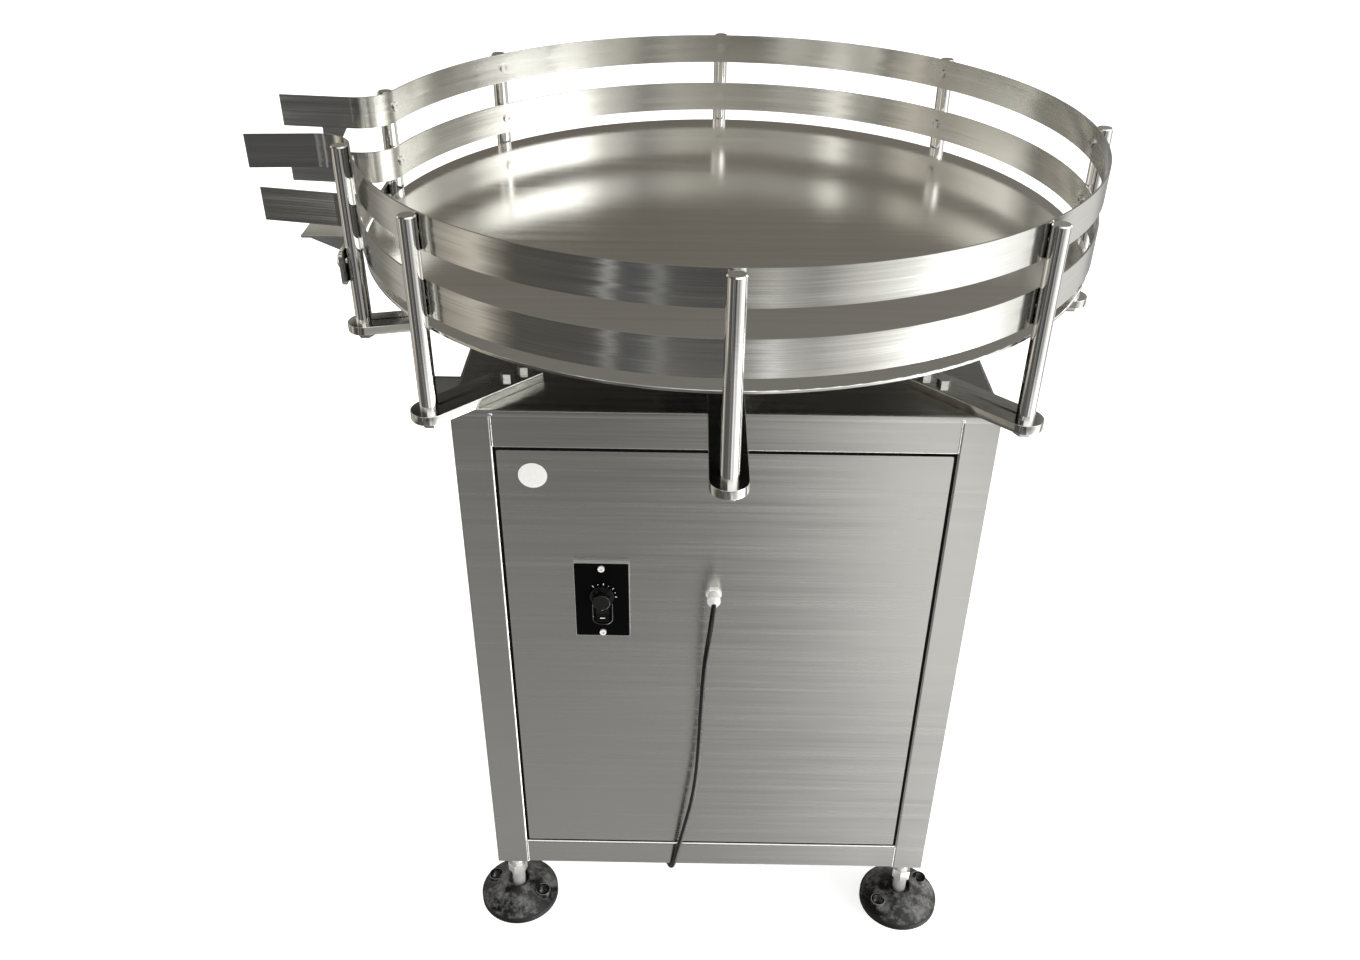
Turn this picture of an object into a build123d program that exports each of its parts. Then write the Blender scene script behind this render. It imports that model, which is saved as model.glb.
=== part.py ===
from build123d import *
from math import sin, cos, tan, radians, degrees, sqrt, pi, atan2
import os

os.makedirs("parts", exist_ok=True)

# ---------------------------------------------------------------- dimensions
# millimetres, +Z up, origin on the floor under the middle of the cabinet,
# front of the cabinet towards -Y, outfeed towards -X

# cabinet frame
cab_half = 275.0            # half width and half depth of the cabinet
tube = 40.0                 # square tube of the frame
tube_wall = 2.0
z_frame = 88.5              # underside of the frame
z_frame_top = 757.7         # top of the tubes
plate_t = 4.0               # top plate
z_top = z_frame_top + plate_t
post_c = cab_half - tube / 2
span = 2 * (cab_half - tube)
open_lo = z_frame + tube
open_hi = z_frame_top - tube

# side panels
panel_gap = 3.0
panel_recess = 1.0
panel_sheet = 2.0
panel_depth = 12.0
stop_t = 3.0
stop_w = 20.0

# guard ring
n_posts = 9
post_r = 9.0
post_circle = 410.4
post_angles = [-166.4, -135.0, -90.0, -45.0, 0.0, 45.0, 90.0, 135.0, 165.0]
bar_t = 10.0
bar_w = 37.0
z_bar = z_top + bar_t
z_post_top = 968.5
rail_in = 399.6
rail_t = 1.8
rail_c = rail_in + rail_t / 2
low_lo, low_hi = 868.7, 905.6
up_lo, up_hi = 933.9, 969.5
screw_z = [(low_lo + low_hi) / 2, (up_lo + up_hi) / 2]

# turntable
disc_r = 399.0
disc_t = 3.0
z_disc = 855.5
boss_r = 65.0
boss_t = 12.5
hub_t = 10.0
spindle_r = 15.0
run_gap = 0.05

# bearing housing
house_r = 42.0
house_flange_r = 80.0
house_flange_t = 12.0
z_house_top = 820.0
z_house_bot = 705.0
bearing_r = 31.0
bearing_w = 16.0

# belt drive
drive_y = 172.0
z_pulley = 678.0
pulley_w = 20.0
big_r = 80.0
small_r = 40.0
groove_depth = 9.0
groove_top = 11.2
groove_bot = 5.7

# speed controller on the front panel
ctl_x, ctl_z = -128.5, 527.0
bezel_w, bezel_h, bezel_t = 59.0, 100.0, 6.0
knob_z = 534.1
rocker_z = 508.0
y_panel = -(cab_half - panel_recess)
y_bezel = y_panel - bezel_t

# cable gland and mains cord
gland_x, gland_z = -6.7, 535.5
y_gland_end = -297.0
cord_d = 5.6

# levelling feet
foot_c = 254.0
pad_r = 50.5
stud_r = 8.0
neck_r = 8.6
pad_rim = 9.5
z_hex = 50.0
hex_h = 15.0
z_stud_top = 150.0


def polar(r, a):
    return (r * cos(radians(a)), r * sin(radians(a)))


post_xy = [polar(post_circle, a) for a in post_angles]
corners = [(-post_c, -post_c), (post_c, -post_c), (-post_c, post_c), (post_c, post_c)]

# ---------------------------------------------------------------- cabinet frame
with BuildPart() as corner_posts:
    with BuildSketch(Plane.XY.offset(z_frame)):
        with Locations(*corners):
            RectangleRounded(tube, tube, 2.5)
            RectangleRounded(tube - 2 * tube_wall, tube - 2 * tube_wall, 1.0, mode=Mode.SUBTRACT)
    extrude(amount=z_frame_top - z_frame)
corner_posts.part.label = "corner_posts"
export_step(corner_posts.part, "parts/corner_posts.step")

with BuildPart() as top_rails:
    with BuildSketch(Plane.YZ.offset(-span / 2)):
        with Locations((-post_c, z_frame_top - tube / 2), (post_c, z_frame_top - tube / 2)):
            RectangleRounded(tube, tube, 2.5)
            RectangleRounded(tube - 2 * tube_wall, tube - 2 * tube_wall, 1.0, mode=Mode.SUBTRACT)
    extrude(amount=span)
    with BuildSketch(Plane.XZ.offset(-span / 2)):
        with Locations((-post_c, z_frame_top - tube / 2), (post_c, z_frame_top - tube / 2)):
            RectangleRounded(tube, tube, 2.5)
            RectangleRounded(tube - 2 * tube_wall, tube - 2 * tube_wall, 1.0, mode=Mode.SUBTRACT)
    extrude(amount=span)
top_rails.part.label = "top_rails"
export_step(top_rails.part, "parts/top_rails.step")

with BuildPart() as bottom_rails:
    with BuildSketch(Plane.YZ.offset(-span / 2)):
        with Locations((-post_c, z_frame + tube / 2), (post_c, z_frame + tube / 2)):
            RectangleRounded(tube, tube, 2.5)
            RectangleRounded(tube - 2 * tube_wall, tube - 2 * tube_wall, 1.0, mode=Mode.SUBTRACT)
    extrude(amount=span)
    with BuildSketch(Plane.XZ.offset(-span / 2)):
        with Locations((-post_c, z_frame + tube / 2), (post_c, z_frame + tube / 2)):
            RectangleRounded(tube, tube, 2.5)
            RectangleRounded(tube - 2 * tube_wall, tube - 2 * tube_wall, 1.0, mode=Mode.SUBTRACT)
    extrude(amount=span)
bottom_rails.part.label = "bottom_rails"
export_step(bottom_rails.part, "parts/bottom_rails.step")

# bolts of each support bar: two on the plate side of the bar
bar_inner = {}
bar_bolt_xy = []
for a in post_angles:
    diagonal = abs(abs(a) % 90 - 45) < 20 and abs(a) < 150
    bar_inner[a] = 283.0 if diagonal else 185.0
    for r in ((293.0, 315.0) if diagonal else (198.0, 224.0)):
        bar_bolt_xy.append(polar(r, a))
standoff_xy = [(-68.0, drive_y - 42), (68.0, drive_y - 42), (-68.0, drive_y + 42), (68.0, drive_y + 42)]

with BuildPart() as top_plate:
    with BuildSketch(Plane.XY.offset(z_frame_top)):
        RectangleRounded(2 * cab_half, 2 * cab_half, 2.0)
        Circle(house_r + 0.3, mode=Mode.SUBTRACT)
        with Locations(*bar_bolt_xy):
            Circle(4.0, mode=Mode.SUBTRACT)
        with Locations(*standoff_xy):
            Circle(4.0, mode=Mode.SUBTRACT)
        with PolarLocations(65.0, 4, 45.0):
            Circle(5.0, mode=Mode.SUBTRACT)
    extrude(amount=plate_t)
top_plate.part.label = "top_plate"
export_step(top_plate.part, "parts/top_plate.step")

with BuildPart() as base_plate:
    with BuildSketch(Plane.XY.offset(open_lo - 2.0)):
        Rectangle(span, span)
    extrude(amount=2.0)
base_plate.part.label = "base_plate"
export_step(base_plate.part, "parts/base_plate.step")

with BuildPart() as foot_plates:
    with BuildSketch(Plane.XY.offset(z_frame)):
        with Locations(*corners):
            RectangleRounded(tube - 2 * tube_wall, tube - 2 * tube_wall, 1.0)
        with Locations((-foot_c, -foot_c), (foot_c, -foot_c), (-foot_c, foot_c), (foot_c, foot_c)):
            Circle(stud_r + run_gap, mode=Mode.SUBTRACT)
    extrude(amount=8.0)
foot_plates.part.label = "foot_plates"
export_step(foot_plates.part, "parts/foot_plates.step")

# ---------------------------------------------------------------- panels
pan_w = span - 2 * panel_gap
pan_h = open_hi - open_lo - 2 * panel_gap
pan_z = (open_hi + open_lo) / 2
y_out = cab_half - panel_recess

with BuildPart() as front_panel:
    with BuildSketch(Plane.XZ.offset(y_out)):
        with Locations((0, pan_z)):
            RectangleRounded(pan_w, pan_h, 2.0)
    extrude(amount=-panel_depth)
    with BuildSketch(Plane.XZ.offset(y_out - panel_sheet)):
        with Locations((0, pan_z)):
            Rectangle(pan_w - 2 * panel_sheet, pan_h - 2 * panel_sheet)
    extrude(amount=-panel_depth, mode=Mode.SUBTRACT)
    with BuildSketch(Plane.XZ.offset(y_out)):
        with Locations((ctl_x, ctl_z)):
            Rectangle(53.0, 79.0)
        with Locations((ctl_x, ctl_z + 44), (ctl_x, ctl_z - 44)):
            Circle(2.0)
        with Locations((gland_x, gland_z)):
            Circle(6.0)
    extrude(amount=-panel_sheet, mode=Mode.SUBTRACT)
front_panel.part.label = "front_panel"
export_step(front_panel.part, "parts/front_panel.step")

with BuildPart() as rear_panel:
    with BuildSketch(Plane.XZ.offset(-y_out)):
        with Locations((0, pan_z)):
            RectangleRounded(pan_w, pan_h, 2.0)
    extrude(amount=panel_depth)
    with BuildSketch(Plane.XZ.offset(-(y_out - panel_sheet))):
        with Locations((0, pan_z)):
            Rectangle(pan_w - 2 * panel_sheet, pan_h - 2 * panel_sheet)
    extrude(amount=panel_depth, mode=Mode.SUBTRACT)
rear_panel.part.label = "rear_panel"
export_step(rear_panel.part, "parts/rear_panel.step")

with BuildPart() as left_panel:
    with BuildSketch(Plane.YZ.offset(-y_out)):
        with Locations((0, pan_z)):
            RectangleRounded(pan_w, pan_h, 2.0)
    extrude(amount=panel_depth)
    with BuildSketch(Plane.YZ.offset(-(y_out - panel_sheet))):
        with Locations((0, pan_z)):
            Rectangle(pan_w - 2 * panel_sheet, pan_h - 2 * panel_sheet)
    extrude(amount=panel_depth, mode=Mode.SUBTRACT)
left_panel.part.label = "left_panel"
export_step(left_panel.part, "parts/left_panel.step")

with BuildPart() as right_panel:
    with BuildSketch(Plane.YZ.offset(y_out)):
        with Locations((0, pan_z)):
            RectangleRounded(pan_w, pan_h, 2.0)
    extrude(amount=-panel_depth)
    with BuildSketch(Plane.YZ.offset(y_out - panel_sheet)):
        with Locations((0, pan_z)):
            Rectangle(pan_w - 2 * panel_sheet, pan_h - 2 * panel_sheet)
    extrude(amount=-panel_depth, mode=Mode.SUBTRACT)
right_panel.part.label = "right_panel"
export_step(right_panel.part, "parts/right_panel.step")

# frames that the panels seat on, welded inside each opening
stop_out = y_out - panel_depth
open_h = open_hi - open_lo
strip_xy = [(0, open_lo + stop_w / 2), (0, open_hi - stop_w / 2)]
strip_zs = [(-(span - stop_w) / 2, pan_z), ((span - stop_w) / 2, pan_z)]
with BuildPart() as panel_stops:
    with BuildSketch(Plane.XZ.offset(stop_out), Plane.XZ.offset(-(stop_out - stop_t))):
        with Locations(*strip_xy):
            Rectangle(span, stop_w)
    extrude(amount=-stop_t)
    with BuildSketch(Plane.YZ.offset(stop_out), Plane.YZ.offset(-(stop_out - stop_t))):
        with Locations(*strip_xy):
            Rectangle(span, stop_w)
    extrude(amount=-stop_t)
    with BuildSketch(Plane.XZ.offset(stop_out), Plane.XZ.offset(-(stop_out - stop_t))):
        with Locations(*strip_zs):
            Rectangle(stop_w, open_h - 2 * stop_w - 0.4)
    extrude(amount=-stop_t)
    with BuildSketch(Plane.YZ.offset(stop_out), Plane.YZ.offset(-(stop_out - stop_t))):
        with Locations(*strip_zs):
            Rectangle(stop_w, open_h - 2 * stop_w - 0.4)
    extrude(amount=-stop_t)
panel_stops.part.label = "panel_stops"
export_step(panel_stops.part, "parts/panel_stops.step")

# ---------------------------------------------------------------- support bars and posts
with BuildPart() as support_bars:
    with BuildSketch(Plane.XY.offset(z_top)):
        for a, xy in zip(post_angles, post_xy):
            mid = polar((bar_inner[a] + post_circle) / 2, a)
            with Locations(mid):
                Rectangle(post_circle - bar_inner[a], bar_w, rotation=a)
            with Locations(xy):
                Circle(bar_w / 2)
        with Locations(*post_xy):
            Circle(5.0, mode=Mode.SUBTRACT)
        with Locations(*bar_bolt_xy):
            Circle(4.0, mode=Mode.SUBTRACT)
    extrude(amount=bar_t)
    chamfer(support_bars.faces().group_by(Axis.Z)[-1].edges().filter_by(GeomType.LINE), 0.6)
support_bars.part.label = "support_bars"
export_step(support_bars.part, "parts/support_bars.step")

with BuildPart() as guard_posts:
    with BuildSketch(Plane.XY.offset(z_bar)):
        with Locations(*post_xy):
            Circle(post_r)
    extrude(amount=z_post_top - z_bar)
    chamfer(guard_posts.edges().group_by(Axis.Z)[-1], 1.2)
    with BuildSketch(Plane.XY.offset(z_bar)):
        with Locations(*post_xy):
            Circle(5.0)
    extrude(amount=22.0, mode=Mode.SUBTRACT)
    for a in post_angles:
        cx, cy = polar(post_circle - post_r - 1.0, a)
        for z in screw_z:
            with BuildSketch(Plane(origin=(cx, cy, z), z_dir=(cos(radians(a)), sin(radians(a)), 0))):
                Circle(3.0)
            extrude(amount=13.0, mode=Mode.SUBTRACT)
    for x, y in (post_xy[0], post_xy[-1]):
        with BuildSketch(Plane(origin=(x - post_r - 1.0, y, 843.0), z_dir=(1, 0, 0))):
            Circle(4.0)
        extrude(amount=13.0, mode=Mode.SUBTRACT)
guard_posts.part.label = "guard_posts"
export_step(guard_posts.part, "parts/guard_posts.step")

with BuildPart() as post_bolts:
    with BuildSketch(Plane.XY.offset(z_top - 8.0)):
        with Locations(*post_xy):
            RegularPolygon(8.0, 6, major_radius=False)
    extrude(amount=6.4)
    with BuildSketch(Plane.XY.offset(z_top - 1.6)):
        with Locations(*post_xy):
            Circle(10.0)
    extrude(amount=1.6)
    with BuildSketch(Plane.XY.offset(z_top)):
        with Locations(*post_xy):
            Circle(4.9)
    extrude(amount=30.0)
post_bolts.part.label = "post_bolts"
export_step(post_bolts.part, "parts/post_bolts.step")

with BuildPart() as bar_bolts:
    with BuildSketch(Plane.XY.offset(z_bar)):
        with Locations(*bar_bolt_xy):
            RegularPolygon(6.5, 6, major_radius=False)
    extrude(amount=5.3)
    with BuildSketch(Plane.XY.offset(z_frame_top - 9.0)):
        with Locations(*bar_bolt_xy):
            Circle(3.9)
    extrude(amount=z_bar - z_frame_top + 9.0)
    with BuildSketch(Plane.XY.offset(z_frame_top - 6.5)):
        with Locations(*bar_bolt_xy):
            RegularPolygon(6.5, 6, major_radius=False)
    extrude(amount=6.5)
bar_bolts.part.label = "bar_bolts"
export_step(bar_bolts.part, "parts/bar_bolts.step")

# ---------------------------------------------------------------- guard rails
# each rail is one flat strip: ring, then a bend round the first and the last
# post, then a straight run along each side of the outfeed
bend_near = 42.0
bend_far = 40.0
a_near, a_far = post_angles[0], post_angles[-1]
x_end_near, x_end_far = -505.4, -512.0


def rail_ends(slope_near, slope_far):
    """points of the strip's centre line: near end, near tangent, near bend mid, ring start, ring end, far bend mid, far tangent, far end"""
    cn = polar(rail_c + bend_near, a_near)
    s = radians(slope_near)
    tn = (cn[0] - bend_near * sin(s), cn[1] + bend_near * cos(s))
    ln = (x_end_near - tn[0]) / -cos(s)
    en = (x_end_near, tn[1] - ln * sin(s))
    ring0 = polar(rail_c, a_near)
    a0 = atan2(tn[1] - cn[1], tn[0] - cn[0])
    a1 = atan2(ring0[1] - cn[1], ring0[0] - cn[0])
    mn = (cn[0] + bend_near * cos((a0 + a1) / 2), cn[1] + bend_near * sin((a0 + a1) / 2))
    cf = polar(rail_c + bend_far, a_far)
    t = radians(slope_far)
    tf = (cf[0] - bend_far * sin(t), cf[1] - bend_far * cos(t))
    lf = (x_end_far - tf[0]) / -cos(t)
    ef = (x_end_far, tf[1] + lf * sin(t))
    ring1 = polar(rail_c, a_far)
    b0 = atan2(tf[1] - cf[1], tf[0] - cf[0])
    b1 = atan2(ring1[1] - cf[1], ring1[0] - cf[0])
    mf = (cf[0] + bend_far * cos((b0 + b1) / 2), cf[1] + bend_far * sin((b0 + b1) / 2))
    return en, tn, mn, ring0, ring1, mf, tf, ef


def screw_planes(z, r, inward):
    sgn = -1.0 if inward else 1.0
    return [Plane(origin=(*polar(r, a), z), z_dir=(sgn * cos(radians(a)), sgn * sin(radians(a)), 0)) for a in post_angles]


upper_pts = rail_ends(3.8, 6.0)
lower_pts = rail_ends(-10.8, 6.0)
ring_mid = (rail_c, 0.0)

with BuildPart() as guard_rail_upper:
    with BuildSketch(Plane.XY.offset(up_lo)):
        with BuildLine():
            en, tn, mn, r0, r1, mf, tf, ef = upper_pts
            Line(en, tn)
            ThreePointArc(tn, mn, r0)
            ThreePointArc(r0, ring_mid, r1)
            ThreePointArc(r1, mf, tf)
            Line(tf, ef)
            offset(amount=rail_t / 2, side=Side.BOTH, kind=Kind.INTERSECTION)
        make_face()
    extrude(amount=up_hi - up_lo)
    with BuildSketch(*screw_planes(screw_z[1], rail_in - 3.0, False)):
        Circle(3.0)
    extrude(amount=8.0, mode=Mode.SUBTRACT)
guard_rail_upper.part.label = "guard_rail_upper"
export_step(guard_rail_upper.part, "parts/guard_rail_upper.step")

with BuildPart() as guard_rail_lower:
    with BuildSketch(Plane.XY.offset(low_lo)):
        with BuildLine():
            en, tn, mn, r0, r1, mf, tf, ef = lower_pts
            Line(en, tn)
            ThreePointArc(tn, mn, r0)
            ThreePointArc(r0, ring_mid, r1)
            ThreePointArc(r1, mf, tf)
            Line(tf, ef)
            offset(amount=rail_t / 2, side=Side.BOTH, kind=Kind.INTERSECTION)
        make_face()
    extrude(amount=low_hi - low_lo)
    with BuildSketch(*screw_planes(screw_z[0], rail_in - 3.0, False)):
        Circle(3.0)
    extrude(amount=8.0, mode=Mode.SUBTRACT)
guard_rail_lower.part.label = "guard_rail_lower"
export_step(guard_rail_lower.part, "parts/guard_rail_lower.step")

screw_seat = rail_in - 0.05
with BuildPart() as rail_screws:
    with BuildSketch(*(screw_planes(screw_z[0], screw_seat, True) + screw_planes(screw_z[1], screw_seat, True))):
        Circle(5.6)
    extrude(amount=2.2)
    with BuildSketch(*(screw_planes(screw_z[0], screw_seat, False) + screw_planes(screw_z[1], screw_seat, False))):
        Circle(2.9)
    extrude(amount=12.0)
    with BuildSketch(*(screw_planes(screw_z[0], screw_seat - 2.2, False) + screw_planes(screw_z[1], screw_seat - 2.2, False))):
        RegularPolygon(2.0, 6, major_radius=False)
    extrude(amount=1.4, mode=Mode.SUBTRACT)
rail_screws.part.label = "rail_screws"
export_step(rail_screws.part, "parts/rail_screws.step")

# strap that ties the two far rails of the outfeed together, on their outer face
tie_slope = radians(6.0)
tie_o = (upper_pts[6][0], upper_pts[6][1])
tie_plane = Plane(origin=(tie_o[0] + (rail_t / 2 + 0.02) * sin(tie_slope), tie_o[1] + (rail_t / 2 + 0.02) * cos(tie_slope), 0),
                  x_dir=(-cos(tie_slope), sin(tie_slope), 0), z_dir=(sin(tie_slope), cos(tie_slope), 0))
with BuildPart() as rail_tie:
    with BuildSketch(tie_plane):
        with BuildLine():
            Polyline((10.0, up_hi - 2), (38.0, up_hi - 2), (38.0, low_lo + 2), (22.0, low_lo + 2),
                     (22.0, low_hi + 6), (10.0, up_lo - 2), close=True)
        make_face()
    extrude(amount=3.0)
rail_tie.part.label = "rail_tie"
export_step(rail_tie.part, "parts/rail_tie.step")

# ---------------------------------------------------------------- outfeed dead plate and its brackets
dead_x = -467.0
dead_y0, dead_y1 = -59.0, 75.0
dead_r = disc_r + 3.5
dead_t = 3.0
z_dead = z_disc
with BuildPart() as dead_plate:
    with BuildSketch(Plane.XY.offset(z_dead - dead_t)):
        with BuildLine():
            e0 = (-sqrt(dead_r ** 2 - dead_y0 ** 2), dead_y0)
            e1 = (-sqrt(dead_r ** 2 - dead_y1 ** 2), dead_y1)
            Line((dead_x, dead_y0), e0)
            ThreePointArc(e0, (-sqrt(dead_r ** 2 - 8.0 ** 2), 8.0), e1)
            Line(e1, (dead_x, dead_y1))
            Line((dead_x, dead_y1), (dead_x, dead_y0))
        make_face()
    extrude(amount=dead_t)
dead_plate.part.label = "dead_plate"
export_step(dead_plate.part, "parts/dead_plate.step")

clamp_t = 4.0
x_clamp_n = post_xy[0][0] - post_r - 0.1
x_clamp_f = post_xy[-1][0] - post_r - 0.1
with BuildPart() as plate_gussets:
    with BuildSketch(Plane.XZ.offset(-dead_y0)):
        with BuildLine():
            Polyline((-456.0, z_dead - dead_t), (x_clamp_n, z_dead - dead_t), (x_clamp_n, 831.0), close=True)
        make_face()
    extrude(amount=-3.0)
    with BuildSketch(Plane.XZ.offset(-dead_y1)):
        with BuildLine():
            Polyline((-456.0, z_dead - dead_t), (x_clamp_f, z_dead - dead_t), (x_clamp_f, 831.0), close=True)
        make_face()
    extrude(amount=3.0)
plate_gussets.part.label = "plate_gussets"
export_step(plate_gussets.part, "parts/plate_gussets.step")

with BuildPart() as post_clamps:
    with BuildSketch(Plane.YZ.offset(x_clamp_n - clamp_t)):
        with Locations(((-114.0 + dead_y0) / 2, 839.0)):
            RectangleRounded(dead_y0 + 114.0, 38.0, 6.0)
        with Locations((post_xy[0][1], 843.0)):
            Circle(4.0, mode=Mode.SUBTRACT)
    extrude(amount=clamp_t)
    with BuildSketch(Plane.YZ.offset(x_clamp_f - clamp_t)):
        with Locations(((123.0 + dead_y1) / 2, 839.0)):
            RectangleRounded(123.0 - dead_y1, 38.0, 6.0)
        with Locations((post_xy[-1][1], 843.0)):
            Circle(4.0, mode=Mode.SUBTRACT)
    extrude(amount=clamp_t)
post_clamps.part.label = "post_clamps"
export_step(post_clamps.part, "parts/post_clamps.step")

with BuildPart() as clamp_bolts:
    for xc, yc in ((x_clamp_n - clamp_t, post_xy[0][1]), (x_clamp_f - clamp_t, post_xy[-1][1])):
        with BuildSketch(Plane.YZ.offset(xc)):
            with Locations((yc, 843.0)):
                RegularPolygon(6.5, 6, major_radius=False)
        extrude(amount=-5.3)
        with BuildSketch(Plane.YZ.offset(xc)):
            with Locations((yc, 843.0)):
                Circle(3.9)
        extrude(amount=15.0)
clamp_bolts.part.label = "clamp_bolts"
export_step(clamp_bolts.part, "parts/clamp_bolts.step")

# tabs on the left side for the conveyor that takes the jars away
with BuildPart() as side_tabs:
    with BuildSketch(Plane.XZ.offset(205.0), Plane.XZ.offset(-209.0)):
        with Locations((-cab_half - 21.5, 737.0)):
            RectangleRounded(43.0, 49.0, 4.0)
        with Locations((-cab_half - 5.0, 737.0)):
            Rectangle(10.0, 49.0)
        with Locations((-cab_half - 26.0, 737.0)):
            Circle(4.5, mode=Mode.SUBTRACT)
    extrude(amount=4.0)
side_tabs.part.label = "side_tabs"
export_step(side_tabs.part, "parts/side_tabs.step")

# ---------------------------------------------------------------- turntable
with BuildPart() as disc:
    with BuildSketch(Plane.XY.offset(z_disc - disc_t)):
        Circle(disc_r)
    extrude(amount=disc_t)
    fillet(disc.edges().group_by(Axis.Z)[-1], 0.8)
disc.part.label = "disc"
export_step(disc.part, "parts/disc.step")

z_boss = z_disc - disc_t - boss_t
z_hub = z_boss - hub_t
with BuildPart() as disc_boss:
    with BuildSketch(Plane.XY.offset(z_boss)):
        Circle(boss_r)
    extrude(amount=boss_t)
    with BuildSketch(Plane.XY.offset(z_boss)):
        with PolarLocations(50.0, 6):
            Circle(4.0)
    extrude(amount=8.5, mode=Mode.SUBTRACT)
disc_boss.part.label = "disc_boss"
export_step(disc_boss.part, "parts/disc_boss.step")

with BuildPart() as hub:
    with BuildSketch(Plane.XY.offset(z_hub)):
        Circle(boss_r)
        with PolarLocations(50.0, 6):
            Circle(4.0, mode=Mode.SUBTRACT)
    extrude(amount=hub_t)
    with BuildSketch(Plane.XY.offset(z_hub - 6.0)):
        Circle(31.0)
    extrude(amount=6.0)
    with BuildSketch(Plane.XY.offset(z_hub - 6.0)):
        Circle(spindle_r)
    extrude(amount=hub_t + 4.0, mode=Mode.SUBTRACT)
hub.part.label = "hub"
export_step(hub.part, "parts/hub.step")

with BuildPart() as hub_bolts:
    with BuildSketch(Plane.XY.offset(z_hub - 5.3)):
        with PolarLocations(50.0, 6):
            RegularPolygon(6.5, 6, major_radius=False)
    extrude(amount=5.3)
    with BuildSketch(Plane.XY.offset(z_hub)):
        with PolarLocations(50.0, 6):
            Circle(3.9)
    extrude(amount=18.0)
hub_bolts.part.label = "hub_bolts"
export_step(hub_bolts.part, "parts/hub_bolts.step")

with BuildPart() as spindle:
    with BuildSketch(Plane.XY.offset(642.0)):
        Circle(spindle_r)
    extrude(amount=z_hub - 6.0 + hub_t + 4.0 - 642.0)
    chamfer(spindle.edges().group_by(Axis.Z)[0], 1.5)
spindle.part.label = "spindle"
export_step(spindle.part, "parts/spindle.step")

with BuildPart() as spindle_pulley:
    with BuildSketch(Plane.XZ):
        with BuildLine():
            Polyline((spindle_r, z_pulley - 24), (30.0, z_pulley - 24), (30.0, z_pulley - pulley_w / 2),
                     (big_r, z_pulley - pulley_w / 2), (big_r, z_pulley - groove_top / 2),
                     (big_r - groove_depth, z_pulley - groove_bot / 2), (big_r - groove_depth, z_pulley + groove_bot / 2),
                     (big_r, z_pulley + groove_top / 2), (big_r, z_pulley + pulley_w / 2),
                     (spindle_r, z_pulley + pulley_w / 2), close=True)
        make_face()
    revolve(axis=Axis.Z)
spindle_pulley.part.label = "spindle_pulley"
export_step(spindle_pulley.part, "parts/spindle_pulley.step")

# ---------------------------------------------------------------- bearing housing
with BuildPart() as bearing_housing:
    with BuildSketch(Plane.XZ):
        with BuildLine():
            Polyline((27.0, z_house_bot + 2 + bearing_w), (bearing_r, z_house_bot + 2 + bearing_w), (bearing_r, z_house_bot + 2),
                     (bearing_r, z_house_bot), (house_r, z_house_bot), (house_r, z_top), (house_flange_r, z_top),
                     (house_flange_r, z_top + house_flange_t), (house_r + 6, z_top + house_flange_t),
                     (house_r, z_top + house_flange_t + 14), (house_r, z_house_top), (bearing_r, z_house_top),
                     (bearing_r, z_house_top - 2 - bearing_w), (27.0, z_house_top - 2 - bearing_w), close=True)
        make_face()
    revolve(axis=Axis.Z)
    with BuildSketch(Plane.XY.offset(z_top)):
        with PolarLocations(65.0, 4, 45.0):
            Circle(5.0)
    extrude(amount=house_flange_t, mode=Mode.SUBTRACT)
bearing_housing.part.label = "bearing_housing"
export_step(bearing_housing.part, "parts/bearing_housing.step")

with BuildPart() as bearings:
    with BuildSketch(Plane.XY.offset(z_house_bot + 2), Plane.XY.offset(z_house_top - 2 - bearing_w)):
        Circle(bearing_r)
        Circle(spindle_r + run_gap, mode=Mode.SUBTRACT)
    extrude(amount=bearing_w)
bearings.part.label = "bearings"
export_step(bearings.part, "parts/bearings.step")

with BuildPart() as housing_bolts:
    with BuildSketch(Plane.XY.offset(z_top + house_flange_t)):
        with PolarLocations(65.0, 4, 45.0):
            RegularPolygon(8.0, 6, major_radius=False)
    extrude(amount=6.4)
    with BuildSketch(Plane.XY.offset(z_frame_top - 10.0)):
        with PolarLocations(65.0, 4, 45.0):
            Circle(4.9)
    extrude(amount=z_top + house_flange_t - z_frame_top + 10.0)
    with BuildSketch(Plane.XY.offset(z_frame_top - 8.0)):
        with PolarLocations(65.0, 4, 45.0):
            RegularPolygon(8.0, 6, major_radius=False)
    extrude(amount=8.0)
housing_bolts.part.label = "housing_bolts"
export_step(housing_bolts.part, "parts/housing_bolts.step")

# ---------------------------------------------------------------- gearmotor and belt
z_mplate = 640.0
mplate_t = 8.0
gear_xy = [(-34.0, drive_y - 34), (34.0, drive_y - 34), (-34.0, drive_y + 34), (34.0, drive_y + 34)]
with BuildPart() as motor_plate:
    with BuildSketch(Plane.XY.offset(z_mplate)):
        with Locations((0, drive_y)):
            RectangleRounded(164.0, 108.0, 6.0)
            Circle(17.2, mode=Mode.SUBTRACT)
        with Locations(*standoff_xy):
            Circle(4.0, mode=Mode.SUBTRACT)
        with Locations(*gear_xy):
            Circle(3.0, mode=Mode.SUBTRACT)
    extrude(amount=mplate_t)
motor_plate.part.label = "motor_plate"
export_step(motor_plate.part, "parts/motor_plate.step")

with BuildPart() as motor_standoffs:
    with BuildSketch(Plane.XY.offset(z_mplate + mplate_t)):
        with Locations(*standoff_xy):
            Circle(7.5)
            Circle(4.0, mode=Mode.SUBTRACT)
    extrude(amount=z_frame_top - z_mplate - mplate_t)
motor_standoffs.part.label = "motor_standoffs"
export_step(motor_standoffs.part, "parts/motor_standoffs.step")

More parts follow.
